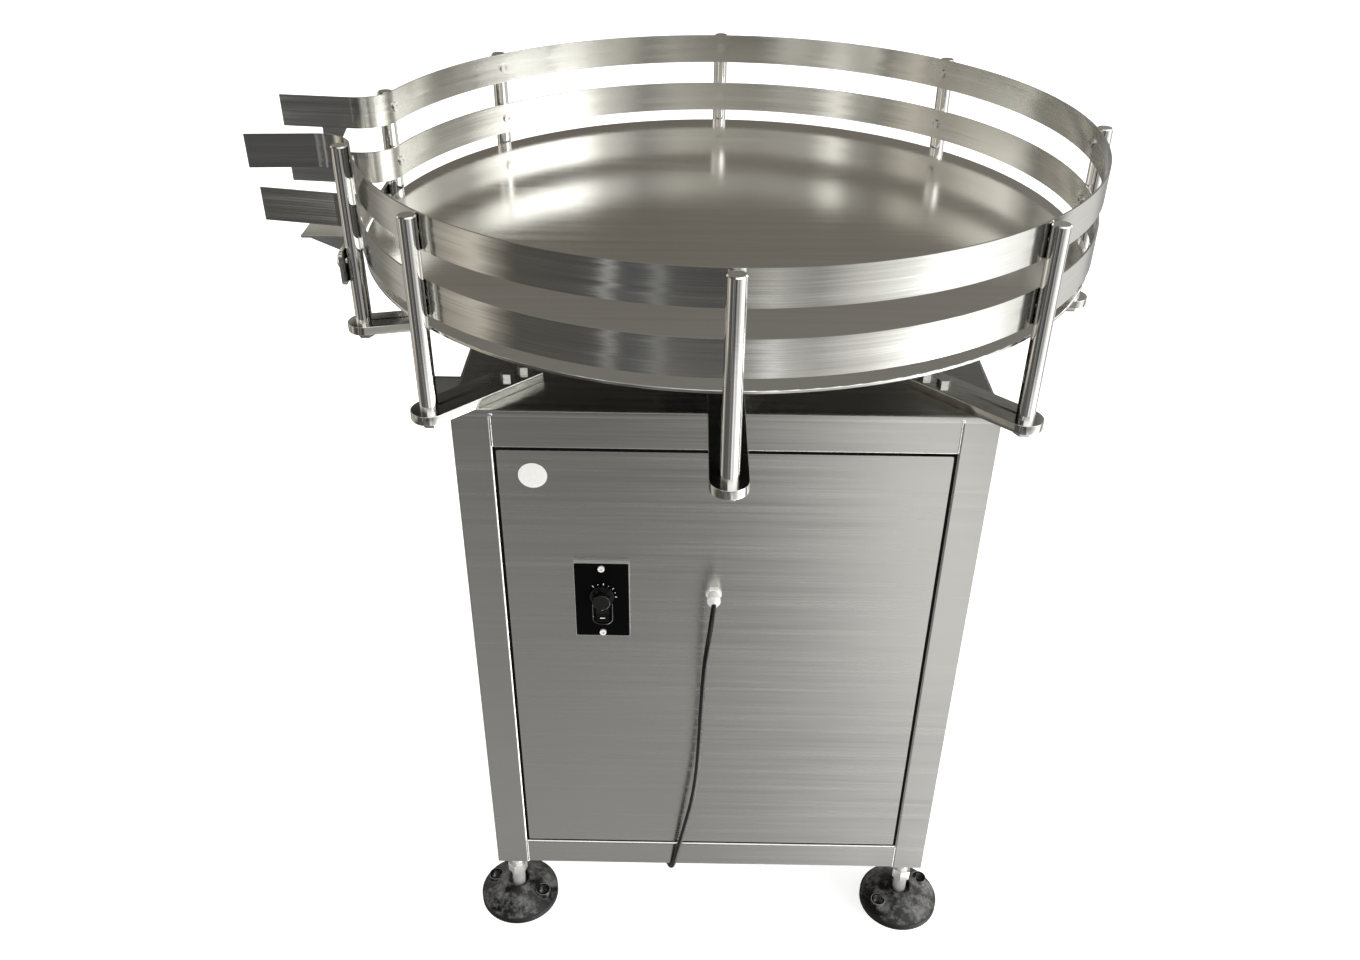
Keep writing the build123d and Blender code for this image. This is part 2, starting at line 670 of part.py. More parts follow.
with BuildPart() as motor_bolts:
    with BuildSketch(Plane.XY.offset(z_top)):
        with Locations(*standoff_xy):
            RegularPolygon(6.5, 6, major_radius=False)
    extrude(amount=5.3)
    with BuildSketch(Plane.XY.offset(z_top - 30.0)):
        with Locations(*standoff_xy):
            Circle(3.9)
    extrude(amount=30.0)
    with BuildSketch(Plane.XY.offset(z_mplate - 5.3)):
        with Locations(*standoff_xy):
            RegularPolygon(6.5, 6, major_radius=False)
    extrude(amount=5.3)
    with BuildSketch(Plane.XY.offset(z_mplate)):
        with Locations(*standoff_xy):
            Circle(3.9)
    extrude(amount=30.0)
    with BuildSketch(Plane.XY.offset(z_mplate + mplate_t)):
        with Locations(*gear_xy):
            Circle(5.0)
    extrude(amount=5.0)
    with BuildSketch(Plane.XY.offset(z_mplate - 14.0)):
        with Locations(*gear_xy):
            Circle(2.9)
    extrude(amount=14.0 + mplate_t)
motor_bolts.part.label = "motor_bolts"
export_step(motor_bolts.part, "parts/motor_bolts.step")

with BuildPart() as gearbox:
    with BuildSketch(Plane.XY.offset(582.0)):
        with Locations((0, drive_y)):
            RectangleRounded(90.0, 90.0, 8.0)
    extrude(amount=z_mplate - 582.0)
    with BuildSketch(Plane.XY.offset(z_mplate)):
        with Locations((0, drive_y)):
            Circle(17.0)
    extrude(amount=5.0)
    with BuildSketch(Plane.XY.offset(590.0)):
        with Locations((0, drive_y)):
            Circle(7.5 + run_gap)
    extrude(amount=60.0, mode=Mode.SUBTRACT)
    with BuildSketch(Plane.XY.offset(z_mplate - 15.0)):
        with Locations(*gear_xy):
            Circle(3.0)
    extrude(amount=15.0, mode=Mode.SUBTRACT)
gearbox.part.label = "gearbox"
export_step(gearbox.part, "parts/gearbox.step")

with BuildPart() as motor:
    with BuildSketch(Plane.XY.offset(450.0)):
        with Locations((0, drive_y)):
            Circle(44.0)
    extrude(amount=132.0)
    fillet(motor.edges().group_by(Axis.Z)[0], 6.0)
motor.part.label = "motor"
export_step(motor.part, "parts/motor.step")

with BuildPart() as motor_shaft:
    with BuildSketch(Plane.XY.offset(592.0)):
        with Locations((0, drive_y)):
            Circle(7.5)
    extrude(amount=98.0)
motor_shaft.part.label = "motor_shaft"
export_step(motor_shaft.part, "parts/motor_shaft.step")

with BuildPart() as motor_pulley:
    with BuildSketch(Plane(origin=(0, drive_y, 0), x_dir=(1, 0, 0), z_dir=(0, -1, 0))):
        with BuildLine():
            Polyline((7.5, z_pulley - 20), (16.0, z_pulley - 20), (16.0, z_pulley - pulley_w / 2),
                     (small_r, z_pulley - pulley_w / 2), (small_r, z_pulley - groove_top / 2),
                     (small_r - groove_depth, z_pulley - groove_bot / 2), (small_r - groove_depth, z_pulley + groove_bot / 2),
                     (small_r, z_pulley + groove_top / 2), (small_r, z_pulley + pulley_w / 2),
                     (7.5, z_pulley + pulley_w / 2), close=True)
        make_face()
    revolve(axis=Axis((0, drive_y, 0), (0, 0, 1)))
motor_pulley.part.label = "motor_pulley"
export_step(motor_pulley.part, "parts/motor_pulley.step")

# the V-belt: a trapezium carried round both pulleys
belt_out = 1.5
ra, rb = big_r - belt_out, small_r - belt_out
tilt = degrees(atan2(ra - rb, sqrt(drive_y ** 2 - (ra - rb) ** 2)))
pa = polar(ra, tilt)
pb = (polar(rb, tilt)[0], drive_y + polar(rb, tilt)[1])
with BuildPart() as drive_belt:
    with BuildLine(Plane.XY.offset(z_pulley)) as belt_path:
        Line(pa, pb)
        ThreePointArc(pb, (0, drive_y + rb), (-pb[0], pb[1]))
        Line((-pb[0], pb[1]), (-pa[0], pa[1]))
        ThreePointArc((-pa[0], pa[1]), (0, -ra), pa)
    with BuildSketch(Plane(origin=(pa[0], pa[1], z_pulley), x_dir=(cos(radians(tilt)), sin(radians(tilt)), 0),
                           z_dir=(sin(radians(tilt)), -cos(radians(tilt)), 0))):
        with BuildLine():
            Polyline((0, -4.8), (0, 4.8), (-5.5, 3.1), (-5.5, -3.1), close=True)
        make_face()
    sweep(path=belt_path.wires()[0])
drive_belt.part.label = "drive_belt"
export_step(drive_belt.part, "parts/drive_belt.step")

# ---------------------------------------------------------------- speed controller
rock_w, rock_h = 15.5, 23.0
with BuildPart() as controller_bezel:
    with BuildSketch(Plane.XZ.offset(-y_panel)):
        with Locations((ctl_x, ctl_z)):
            RectangleRounded(bezel_w, bezel_h, 2.5)
        with Locations((ctl_x, ctl_z + 44), (ctl_x, ctl_z - 44)):
            Circle(2.0, mode=Mode.SUBTRACT)
        with Locations((ctl_x, knob_z)):
            Circle(3.2, mode=Mode.SUBTRACT)
        with Locations((ctl_x, rocker_z)):
            Rectangle(rock_w, rock_h, mode=Mode.SUBTRACT)
    extrude(amount=bezel_t)
    fillet(controller_bezel.faces().sort_by(Axis.Y)[0].outer_wire().edges(), 1.0)
controller_bezel.part.label = "controller_bezel"
export_step(controller_bezel.part, "parts/controller_bezel.step")

with BuildPart() as controller_body:
    with BuildSketch(Plane.XZ.offset(-y_panel)):
        with Locations((ctl_x, ctl_z)):
            Rectangle(52.0, 78.0)
    extrude(amount=-66.0)
    with BuildSketch(Plane.XZ.offset(-y_panel)):
        with Locations((ctl_x, knob_z)):
            Circle(3.0 + run_gap)
    extrude(amount=-16.0, mode=Mode.SUBTRACT)
    with BuildSketch(Plane.XZ.offset(-y_panel)):
        with Locations((ctl_x, rocker_z)):
            Rectangle(rock_w, rock_h)
    extrude(amount=-6.0, mode=Mode.SUBTRACT)
controller_body.part.label = "controller_body"
export_step(controller_body.part, "parts/controller_body.step")

with BuildPart() as controller_screws:
    with BuildSketch(Plane.XZ.offset(-y_bezel)):
        with Locations((ctl_x, ctl_z + 44), (ctl_x, ctl_z - 44)):
            Circle(3.6)
    extrude(amount=2.2)
    with BuildSketch(Plane.XZ.offset(-y_bezel)):
        with Locations((ctl_x, ctl_z + 44), (ctl_x, ctl_z - 44)):
            Circle(1.9)
    extrude(amount=-15.0)
    with BuildSketch(Plane.XZ.offset(-y_bezel + 2.2)):
        with Locations((ctl_x, ctl_z + 44), (ctl_x, ctl_z - 44)):
            Rectangle(5.0, 0.9, rotation=35)
            Rectangle(0.9, 5.0, rotation=35)
    extrude(amount=-1.2, mode=Mode.SUBTRACT)
controller_screws.part.label = "controller_screws"
export_step(controller_screws.part, "parts/controller_screws.step")

with BuildPart() as speed_knob:
    with BuildSketch(Plane.XZ.offset(-y_bezel + 0.4)):
        with Locations((ctl_x, knob_z)):
            Circle(13.3)
    extrude(amount=2.4)
    with BuildSketch(Plane.XZ.offset(-y_bezel + 2.8)):
        with Locations((ctl_x, knob_z)):
            Circle(10.3)
    extrude(amount=11.0, taper=3.0)
    fillet(speed_knob.faces().sort_by(Axis.Y)[0].edges(), 0.8)
    with BuildSketch(Plane.XZ.offset(-y_bezel + 0.4)):
        with Locations((ctl_x, knob_z)):
            Circle(3.0)
    extrude(amount=-20.0)
    with BuildSketch(Plane.XZ.offset(-y_bezel + 13.8)):
        with Locations((ctl_x, knob_z + 6.0)):
            Rectangle(1.2, 7.0)
    extrude(amount=-0.6, mode=Mode.SUBTRACT)
speed_knob.part.label = "speed_knob"
export_step(speed_knob.part, "parts/speed_knob.step")

# the rocker rests with its upper half pressed in flush; it turns about X
rock_tilt = 9.0
rock_pivot_y = y_bezel + 5.0
rock_pts = [(-2.0, -9.8), (6.6, -10.1), (5.4, 0.0), (6.6, 10.1), (-2.0, 9.8)]
ct, st = cos(radians(rock_tilt)), sin(radians(rock_tilt))
with BuildPart() as power_rocker:
    with BuildSketch(Plane(origin=(ctl_x - 7.3, rock_pivot_y, rocker_z), x_dir=(0, -1, 0), z_dir=(-1, 0, 0))):
        with BuildLine():
            Polyline(*[(v * ct - u * st, v * st + u * ct) for v, u in rock_pts], close=True)
        make_face()
    extrude(amount=-14.6)
power_rocker.part.label = "power_rocker"
export_step(power_rocker.part, "parts/power_rocker.step")

# ---------------------------------------------------------------- cable gland
with BuildPart() as cable_gland:
    with BuildSketch(Plane.XZ.offset(-y_panel)):
        with Locations((gland_x, gland_z)):
            RegularPolygon(7.6, 6, major_radius=False)
    extrude(amount=5.0)
    with BuildSketch(Plane.XZ.offset(-y_panel + 5.0)):
        with Locations((gland_x, gland_z)):
            Circle(7.2)
    extrude(amount=11.0)
    with BuildSketch(Plane.XZ.offset(-y_panel + 16.0)):
        with Locations((gland_x, gland_z)):
            Circle(7.2)
    extrude(amount=-y_gland_end + y_panel - 16.0, taper=28.0)
    with BuildSketch(Plane.XZ.offset(-y_panel)):
        with Locations((gland_x, gland_z)):
            Circle(5.9)
    extrude(amount=-14.0)
cable_gland.part.label = "cable_gland"
export_step(cable_gland.part, "parts/cable_gland.step")

with BuildPart() as gland_nut:
    with BuildSketch(Plane.XZ.offset(-y_panel - panel_sheet)):
        with Locations((gland_x, gland_z)):
            RegularPolygon(8.5, 6, major_radius=False)
            Circle(5.9, mode=Mode.SUBTRACT)
    extrude(amount=-5.0)
gland_nut.part.label = "gland_nut"
export_step(gland_nut.part, "parts/gland_nut.step")

# ---------------------------------------------------------------- mains cord, coil and plug
coil_c = (-40.0, -62.0)
coil_r = [27.2, 33.0]
lay_z = [2.9, 8.6, 14.3]
route = [
    (gland_x, y_gland_end, gland_z),
    (-8.1, -308.5, 534.0),
    (-10.0, -322.5, 527.5),
    (-12.7, -333.0, 514.0),
    (-15.4, -338.5, 493.0),
    (-17.1, -338.5, 459.0),
    (-18.4, -334.0, 412.0),
    (-19.3, -327.0, 358.0),
    (-21.2, -318.5, 302.0),
    (-25.4, -309.5, 248.0),
    (-32.8, -300.5, 196.0),
    (-40.2, -292.5, 149.0),
    (-45.2, -287.0, 114.0),
    (-48.6, -281.5, 93.0),
    (-52.0, -269.0, 77.0),
    (-56.5, -246.0, 60.5),
    (-61.0, -222.0, 46.0),
    (-65.5, -195.0, 31.0),
    (-69.3, -166.0, 16.0),
    (-72.0, -136.0, 5.8),
    (-73.0, -106.0, 3.0),
    (-73.0, -75.0, 2.9),
]
radii = []
for i in range(1, len(route) - 1):
    p0, p1, p2 = Vector(*route[i - 1]), Vector(*route[i]), Vector(*route[i + 1])
    run = min((p1 - p0).length, (p2 - p1).length)
    turn = (p1 - p0).get_angle(p2 - p1)
    radii.append(0.45 * run / tan(radians(turn / 2)))
    print("corner", i, "runs", round((p1 - p0).length, 1), round((p2 - p1).length, 1), "turn", round(turn, 1), "radius", round(radii[-1], 1), "diameters", round(radii[-1] / cord_d, 1))

lead = [
    (coil_c[0] + 3.0, coil_c[1] + coil_r[1], lay_z[2]),
    (coil_c[0] + 21.0, coil_c[1] + coil_r[1] + 0.9, 14.9),
    (coil_c[0] + 38.0, coil_c[1] + coil_r[1] + 3.5, 16.0),
    (coil_c[0] + 55.0, coil_c[1] + coil_r[1] + 7.3, 17.4),
    (coil_c[0] + 72.0, coil_c[1] + coil_r[1] + 9.0, 18.0),
]
lead_radii = []
for i in range(1, len(lead) - 1):
    p0, p1, p2 = Vector(*lead[i - 1]), Vector(*lead[i]), Vector(*lead[i + 1])
    run = min((p1 - p0).length, (p2 - p1).length)
    turn = (p1 - p0).get_angle(p2 - p1)
    lead_radii.append(0.45 * run / tan(radians(turn / 2)))
    print("lead corner", i, "turn", round(turn, 1), "radius", round(lead_radii[-1], 1), "diameters", round(lead_radii[-1] / cord_d, 1))

with BuildPart() as power_cord:
    with BuildLine() as cord_path:
        FilletPolyline(*route, radius=radii)
    with BuildSketch(Plane(origin=route[0], z_dir=Vector(*route[1]) - Vector(*route[0]))):
        Circle(cord_d / 2)
    sweep(path=cord_path.wires()[0])
    with BuildLine() as lead_path:
        FilletPolyline(*lead, radius=lead_radii)
    with BuildSketch(Plane(origin=lead[0], z_dir=Vector(*lead[1]) - Vector(*lead[0]))):
        Circle(cord_d / 2)
    sweep(path=lead_path.wires()[0])
power_cord.part.label = "power_cord"
export_step(power_cord.part, "parts/power_cord.step")
cord_len = cord_path.wires()[0].length + lead_path.wires()[0].length
print("tube length", round(cord_len, 2), "volume ratio", round(power_cord.part.volume / (cord_len * pi * cord_d ** 2 / 4), 4))

with BuildPart() as cord_coil:
    with BuildSketch(Plane.XY):
        with Locations(coil_c):
            Circle(coil_r[1] + 3.1)
            Circle(coil_r[0] - 3.1, mode=Mode.SUBTRACT)
    extrude(amount=17.2)
cord_coil.part.label = "cord_coil"
export_step(cord_coil.part, "parts/cord_coil.step")

plug_x0 = lead[-1][0]
plug_y = lead[-1][1]
plug_r = 18.0
with BuildPart() as plug:
    with BuildSketch(Plane.YZ.offset(plug_x0)):
        with Locations((plug_y, plug_r)):
            Circle(4.2)
    extrude(amount=26.0, taper=-6.0)
    with BuildSketch(Plane.YZ.offset(plug_x0 + 26.0)):
        with Locations((plug_y, plug_r)):
            Circle(plug_r)
    extrude(amount=32.0)
    fillet(plug.faces().filter_by(Axis.X).sort_by(SortBy.AREA)[-2:].edges().filter_by(lambda e: abs(e.length - 2 * pi * plug_r) < 1.0), 2.5)
    with BuildSketch(Plane.YZ.offset(plug_x0 + 58.0)):
        with Locations((plug_y - 9.5, plug_r), (plug_y + 9.5, plug_r)):
            Circle(2.4)
    extrude(amount=19.0)
plug.part.label = "plug"
export_step(plug.part, "parts/plug.step")

# ---------------------------------------------------------------- levelling feet
feet = [("fl", -foot_c, -foot_c, -20.0), ("fr", foot_c, -foot_c, 32.0), ("rl", -foot_c, foot_c, 25.0), ("rr", foot_c, foot_c, -15.0)]
for tag, fx, fy, turn in feet:
    with BuildPart() as foot_pad:
        with BuildSketch(Plane(origin=(fx, fy, 0), x_dir=(1, 0, 0), z_dir=(0, -1, 0))):
            with BuildLine():
                Polyline((0, 0), (pad_r - 1.0, 0), (pad_r, 1.0), (pad_r, pad_rim), (pad_r - 1.8, pad_rim + 1.3), (20.0, 27.0), (15.5, 29.0),
                         (13.6, 29.0), (13.6, 24.0), (stud_r, 24.0), (stud_r, 12.0), (0, 12.0), close=True)
            make_face()
        revolve(axis=Axis((fx, fy, 0), (0, 0, 1)))
        with BuildSketch(Plane(origin=(fx, fy, 3.0), x_dir=(cos(radians(turn)), sin(radians(turn)), 0), z_dir=(0, 0, 1))):
            with Locations((-35.0, 0), (35.0, 0)):
                Circle(9.5)
        extrude(amount=19.0)
        with BuildSketch(Plane(origin=(fx, fy, 0), x_dir=(cos(radians(turn)), sin(radians(turn)), 0), z_dir=(0, 0, 1))):
            with Locations((-35.0, 0), (35.0, 0)):
                Circle(6.6)
        extrude(amount=30.0, mode=Mode.SUBTRACT)
    foot_pad.part.label = "foot_pad_" + tag
    export_step(foot_pad.part, "parts/foot_pad_" + tag + ".step")
    with BuildPart() as foot_stud:
        with BuildSketch(Plane.XY.offset(12.0)):
            with Locations((fx, fy)):
                Circle(stud_r)
        extrude(amount=z_stud_top - 12.0)
        chamfer(foot_stud.edges().group_by(Axis.Z)[-1], 1.0)
        with BuildSketch(Plane.XY.offset(z_hex)):
            with Locations((fx, fy)):
                RegularPolygon(10.8, 6, major_radius=False, rotation=15)
        extrude(amount=hex_h)
        with BuildSketch(Plane.XY.offset(24.0)):
            with Locations((fx, fy)):
                Circle(neck_r)
        extrude(amount=z_hex - 24.0)
    foot_stud.part.label = "foot_stud_" + tag
    export_step(foot_stud.part, "parts/foot_stud_" + tag + ".step")
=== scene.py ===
import math
import bpy
import bmesh
from mathutils import Matrix, Vector


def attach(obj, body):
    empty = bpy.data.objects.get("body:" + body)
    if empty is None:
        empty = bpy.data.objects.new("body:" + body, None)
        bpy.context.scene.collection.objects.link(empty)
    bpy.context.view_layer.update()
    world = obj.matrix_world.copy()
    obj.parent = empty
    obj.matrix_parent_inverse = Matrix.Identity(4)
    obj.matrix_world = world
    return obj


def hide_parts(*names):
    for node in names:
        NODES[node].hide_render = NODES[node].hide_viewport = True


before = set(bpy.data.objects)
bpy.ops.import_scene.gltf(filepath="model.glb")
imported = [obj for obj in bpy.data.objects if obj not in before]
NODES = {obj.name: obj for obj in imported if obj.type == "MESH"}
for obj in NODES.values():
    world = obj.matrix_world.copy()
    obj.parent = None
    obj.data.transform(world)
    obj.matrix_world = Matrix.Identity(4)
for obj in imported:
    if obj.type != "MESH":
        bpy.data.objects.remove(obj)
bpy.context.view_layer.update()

scene = bpy.context.scene
scene.view_settings.view_transform = "Standard"

# ---------------------------------------------------------------- camera
YAW, PITCH, ROLL = math.radians(-0.39), math.radians(33.08), math.radians(-0.66)
forward = Vector((math.sin(YAW) * math.cos(PITCH), math.cos(YAW) * math.cos(PITCH), -math.sin(PITCH)))
right = Vector((math.cos(YAW), -math.sin(YAW), 0.0))
down = forward.cross(right)
right2 = math.cos(ROLL) * right + math.sin(ROLL) * down
down2 = -math.sin(ROLL) * right + math.cos(ROLL) * down
cam_data = bpy.data.cameras.new("camera")
cam_data.sensor_fit = "HORIZONTAL"
cam_data.sensor_width = 36.0
cam_data.lens = 31.65
cam_data.clip_start = 0.05
cam_data.clip_end = 60.0
cam = bpy.data.objects.new("camera", cam_data)
scene.collection.objects.link(cam)
m = Matrix((right2, -down2, -forward)).transposed().to_4x4()
m.translation = Vector((-0.03795, -1.3025, 1.3519))
cam.matrix_world = m
scene.camera = cam


# ---------------------------------------------------------------- helpers
def link(obj):
    scene.collection.objects.link(obj)
    return obj


def mesh_object(name, bm, smooth=None):
    """bm becomes an object; smooth is the angle in degrees below which edges are shaded smooth"""
    me = bpy.data.meshes.new(name)
    bmesh.ops.recalc_face_normals(bm, faces=bm.faces)
    if smooth is not None:
        for f in bm.faces:
            f.smooth = True
        for e in bm.edges:
            if len(e.link_faces) == 2 and e.calc_face_angle(0.0) > math.radians(smooth):
                e.smooth = False
    bm.to_mesh(me)
    bm.free()
    return link(bpy.data.objects.new(name, me))


def lathe(bm, profile, origin, axis, segments=48, up=None):
    """revolves profile, a list of (radius, height) from one end to the other, about axis through origin"""
    origin, axis = Vector(origin), Vector(axis).normalized()
    u = Vector(up).normalized() if up is not None else axis.orthogonal().normalized()
    w = axis.cross(u)
    rings = []
    for r, h in profile:
        if r < 1e-7:
            rings.append([bm.verts.new(origin + axis * h)])
        else:
            rings.append([bm.verts.new(origin + axis * h + (u * math.cos(2 * math.pi * k / segments) + w * math.sin(2 * math.pi * k / segments)) * r) for k in range(segments)])
    for a, b in zip(rings, rings[1:]):
        for k in range(segments):
            n = (k + 1) % segments
            if len(a) == 1 and len(b) == 1:
                continue
            if len(a) == 1:
                bm.faces.new((a[0], b[k], b[n]))
            elif len(b) == 1:
                bm.faces.new((a[k], a[n], b[0]))
            else:
                bm.faces.new((a[k], a[n], b[n], b[k]))


def box(bm, lo, hi):
    """a closed box between two corners"""
    v = [bm.verts.new((x, y, z)) for x in (lo[0], hi[0]) for y in (lo[1], hi[1]) for z in (lo[2], hi[2])]
    for a, b, c, d in ((0, 1, 3, 2), (4, 6, 7, 5), (0, 4, 5, 1), (2, 3, 7, 6), (0, 2, 6, 4), (1, 5, 7, 3)):
        bm.faces.new((v[a], v[b], v[c], v[d]))


# ---------------------------------------------------------------- material nodes
class Mat:
    """a node material with the few nodes that every finish here is built from"""

    def __init__(self, name):
        self.mat = bpy.data.materials.new(name)
        self.mat.use_nodes = True
        self.t = self.mat.node_tree
        self.b = self.t.nodes["Principled BSDF"]
        self.coord = self.t.nodes.new("ShaderNodeTexCoord").outputs["Object"]

    def node(self, kind, **inputs):
        n = self.t.nodes.new(kind)
        for k, v in inputs.items():
            self.put(n.inputs[k.replace("_", " ")], v)
        return n

    def put(self, socket, v):
        if isinstance(v, bpy.types.NodeSocket):
            self.t.links.new(v, socket)
        else:
            socket.default_value = v

    def math(self, op, a, b=0.0, c=0.0, clamp=False):
        n = self.t.nodes.new("ShaderNodeMath")
        n.operation = op
        n.use_clamp = clamp
        for s, v in zip(n.inputs, (a, b, c)):
            self.put(s, v)
        return n.outputs[0]

    def scaled(self, sx, sy, sz, source=None):
        n = self.t.nodes.new("ShaderNodeMapping")
        n.vector_type = "POINT"
        self.put(n.inputs["Vector"], source or self.coord)
        n.inputs["Scale"].default_value = (sx, sy, sz)
        return n.outputs[0]

    def noise(self, vector, scale=1.0, detail=3.0, rough=0.55, distortion=0.0):
        n = self.t.nodes.new("ShaderNodeTexNoise")
        self.put(n.inputs["Vector"], vector)
        n.inputs["Scale"].default_value = scale
        n.inputs["Detail"].default_value = detail
        n.inputs["Roughness"].default_value = rough
        n.inputs["Distortion"].default_value = distortion
        return n.outputs["Fac"]

    def ramp(self, fac, stops):
        n = self.t.nodes.new("ShaderNodeValToRGB")
        self.put(n.inputs["Fac"], fac)
        e = n.color_ramp.elements
        while len(e) < len(stops):
            e.new(0.5)
        for el, (pos, col) in zip(e, stops):
            el.position = pos
            el.color = (*col, 1.0) if len(col) == 3 else col
        return n.outputs["Color"]

    def range(self, v, a, b, c, d, smooth=False):
        n = self.t.nodes.new("ShaderNodeMapRange")
        n.interpolation_type = "SMOOTHSTEP" if smooth else "LINEAR"
        self.put(n.inputs["Value"], v)
        for k, x in zip(("From Min", "From Max", "To Min", "To Max"), (a, b, c, d)):
            n.inputs[k].default_value = x
        return n.outputs["Result"]

    def mix(self, fac, a, b, kind="MIX"):
        n = self.t.nodes.new("ShaderNodeMix")
        n.data_type = "RGBA"
        n.blend_type = kind
        self.put(n.inputs["Factor"], fac)
        self.put(n.inputs["A"], a if isinstance(a, bpy.types.NodeSocket) else (*a, 1.0))
        self.put(n.inputs["B"], b if isinstance(b, bpy.types.NodeSocket) else (*b, 1.0))
        return n.outputs["Result"]

    def bump(self, height, strength, distance, normal=None):
        n = self.t.nodes.new("ShaderNodeBump")
        if normal is not None:
            self.put(n.inputs["Normal"], normal)
        self.put(n.inputs["Height"], height)
        n.inputs["Strength"].default_value = strength
        n.inputs["Distance"].default_value = distance
        self.put(self.b.inputs["Normal"], n.outputs["Normal"])

    def set(self, **kw):
        for k, v in kw.items():
            self.put(self.b.inputs[k.replace("_", " ")], (*v, 1.0) if isinstance(v, tuple) and len(v) == 3 else v)
        return self


def brushed(name, base, rough, along="level", spread=0.07, aniso=0.75, grain=1.0, ragged=0.0, tint=(1.0, 0.995, 0.945)):
    """Brushed stainless sheet. along is the direction of the brush lines: level, on upright faces, x, y or up."""
    m = Mat(name)
    slow, fast = 5.0, 620.0 * grain
    scale = {"level": (slow, slow, fast), "x": (slow, fast, fast), "y": (fast, slow, fast), "up": (fast, fast, slow)}[along]
    fine = m.noise(m.scaled(*scale), 1.0, 4.0, 0.62)
    scale2 = tuple(s * (0.55 if s == slow else 0.22) for s in scale)
    broad = m.noise(m.scaled(*scale2), 1.0, 3.0, 0.5)
    cloud = m.noise(m.coord, 5.0, 2.0, 0.5)
    v = m.math("ADD", m.math("MULTIPLY", fine, 0.55), m.math("MULTIPLY", broad, 0.45))
    v = m.range(v, 0.3, 0.7, 1.0 - spread, 1.0 + spread)
    v = m.math("MULTIPLY", v, m.range(cloud, 0.3, 0.7, 0.97, 1.03))
    col = m.node("ShaderNodeCombineColor", Red=m.math("MULTIPLY", v, base * tint[0]), Green=m.math("MULTIPLY", v, base * tint[1]), Blue=m.math("MULTIPLY", v, base * tint[2]))
    m.set(Base_Color=col.outputs["Color"], Metallic=1.0, Anisotropic=aniso)
    m.put(m.b.inputs["Roughness"], m.range(m.math("ADD", m.math("MULTIPLY", fine, 0.5), m.math("MULTIPLY", broad, 0.5)), 0.3, 0.7, rough - 0.05, rough + 0.05))
    t = m.t.nodes.new("ShaderNodeTangent")
    t.direction_type = "RADIAL"
    t.axis = "Z"
    m.put(m.b.inputs["Tangent"], t.outputs["Tangent"])
    m.b.inputs["Anisotropic Rotation"].default_value = 0.0 if along == "up" else 0.25
    # the brush lines lean a little to either side, so reflections have ragged edges
    lean = m.math("MULTIPLY", m.math("SUBTRACT", m.math("ADD", m.math("MULTIPLY", fine, 0.5), m.math("MULTIPLY", broad, 0.5)), 0.5), ragged)
    push = m.t.nodes.new("ShaderNodeVectorMath")
    push.operation = "SCALE"
    m.put(push.inputs[0], t.outputs["Tangent"])
    m.put(push.inputs["Scale"], lean)
    face = m.t.nodes.new("ShaderNodeNewGeometry")
    add = m.t.nodes.new("ShaderNodeVectorMath")
    add.operation = "ADD"
    m.put(add.inputs[0], face.outputs["Normal"])
    m.put(add.inputs[1], push.outputs[0])
    unit = m.t.nodes.new("ShaderNodeVectorMath")
    unit.operation = "NORMALIZE"
    m.put(unit.inputs[0], add.outputs[0])
    m.bump(fine, 0.10, 0.0004, unit.outputs[0])
    return m


def polished(name, base, rough, tint=(1.0, 0.99, 0.97), metal=1.0):
    """Polished or plated steel, with faint turning marks and smudges"""
    m = Mat(name)
    fine = m.noise(m.scaled(40.0, 40.0, 1400.0), 1.0, 3.0, 0.6)
    smudge = m.noise(m.coord, 38.0, 3.0, 0.6)
    v = m.math("MULTIPLY", m.range(fine, 0.3, 0.7, 0.97, 1.03), m.range(smudge, 0.35, 0.7, 1.0, 0.95))
    col = m.node("ShaderNodeCombineColor", Red=m.math("MULTIPLY", v, base * tint[0]), Green=m.math("MULTIPLY", v, base * tint[1]), Blue=m.math("MULTIPLY", v, base * tint[2]))
    m.set(Base_Color=col.outputs["Color"], Metallic=metal)
    m.put(m.b.inputs["Roughness"], m.range(smudge, 0.3, 0.75, rough - 0.03, rough + 0.07))
    m.bump(fine, 0.06, 0.0002)
    return m


def plastic(name, base, rough, grain=900.0, bump=0.12, coat=0.0, wear=1.6, spec=0.5):
    """Moulded plastic, rubber or paint: a fine grain, slow colour drift and a little wear"""
    m = Mat(name)
    fine = m.noise(m.coord, grain, 3.0, 0.6)
    slow = m.noise(m.coord, 22.0, 3.0, 0.6)
    col = m.ramp(m.math("ADD", m.math("MULTIPLY", slow, 0.7), m.math("MULTIPLY", fine, 0.3)), [
        (0.30, tuple(c * 0.86 for c in base)), (0.55, base), (0.78, tuple(min(1.0, c * wear) for c in base))])
    m.set(Base_Color=col, Specular_IOR_Level=spec)
    m.put(m.b.inputs["Roughness"], m.range(slow, 0.3, 0.7, rough - 0.05, rough + 0.08))
    if coat:
        m.set(Coat_Weight=coat, Coat_Roughness=0.08)
    m.bump(fine, bump, 0.0003)
    return m


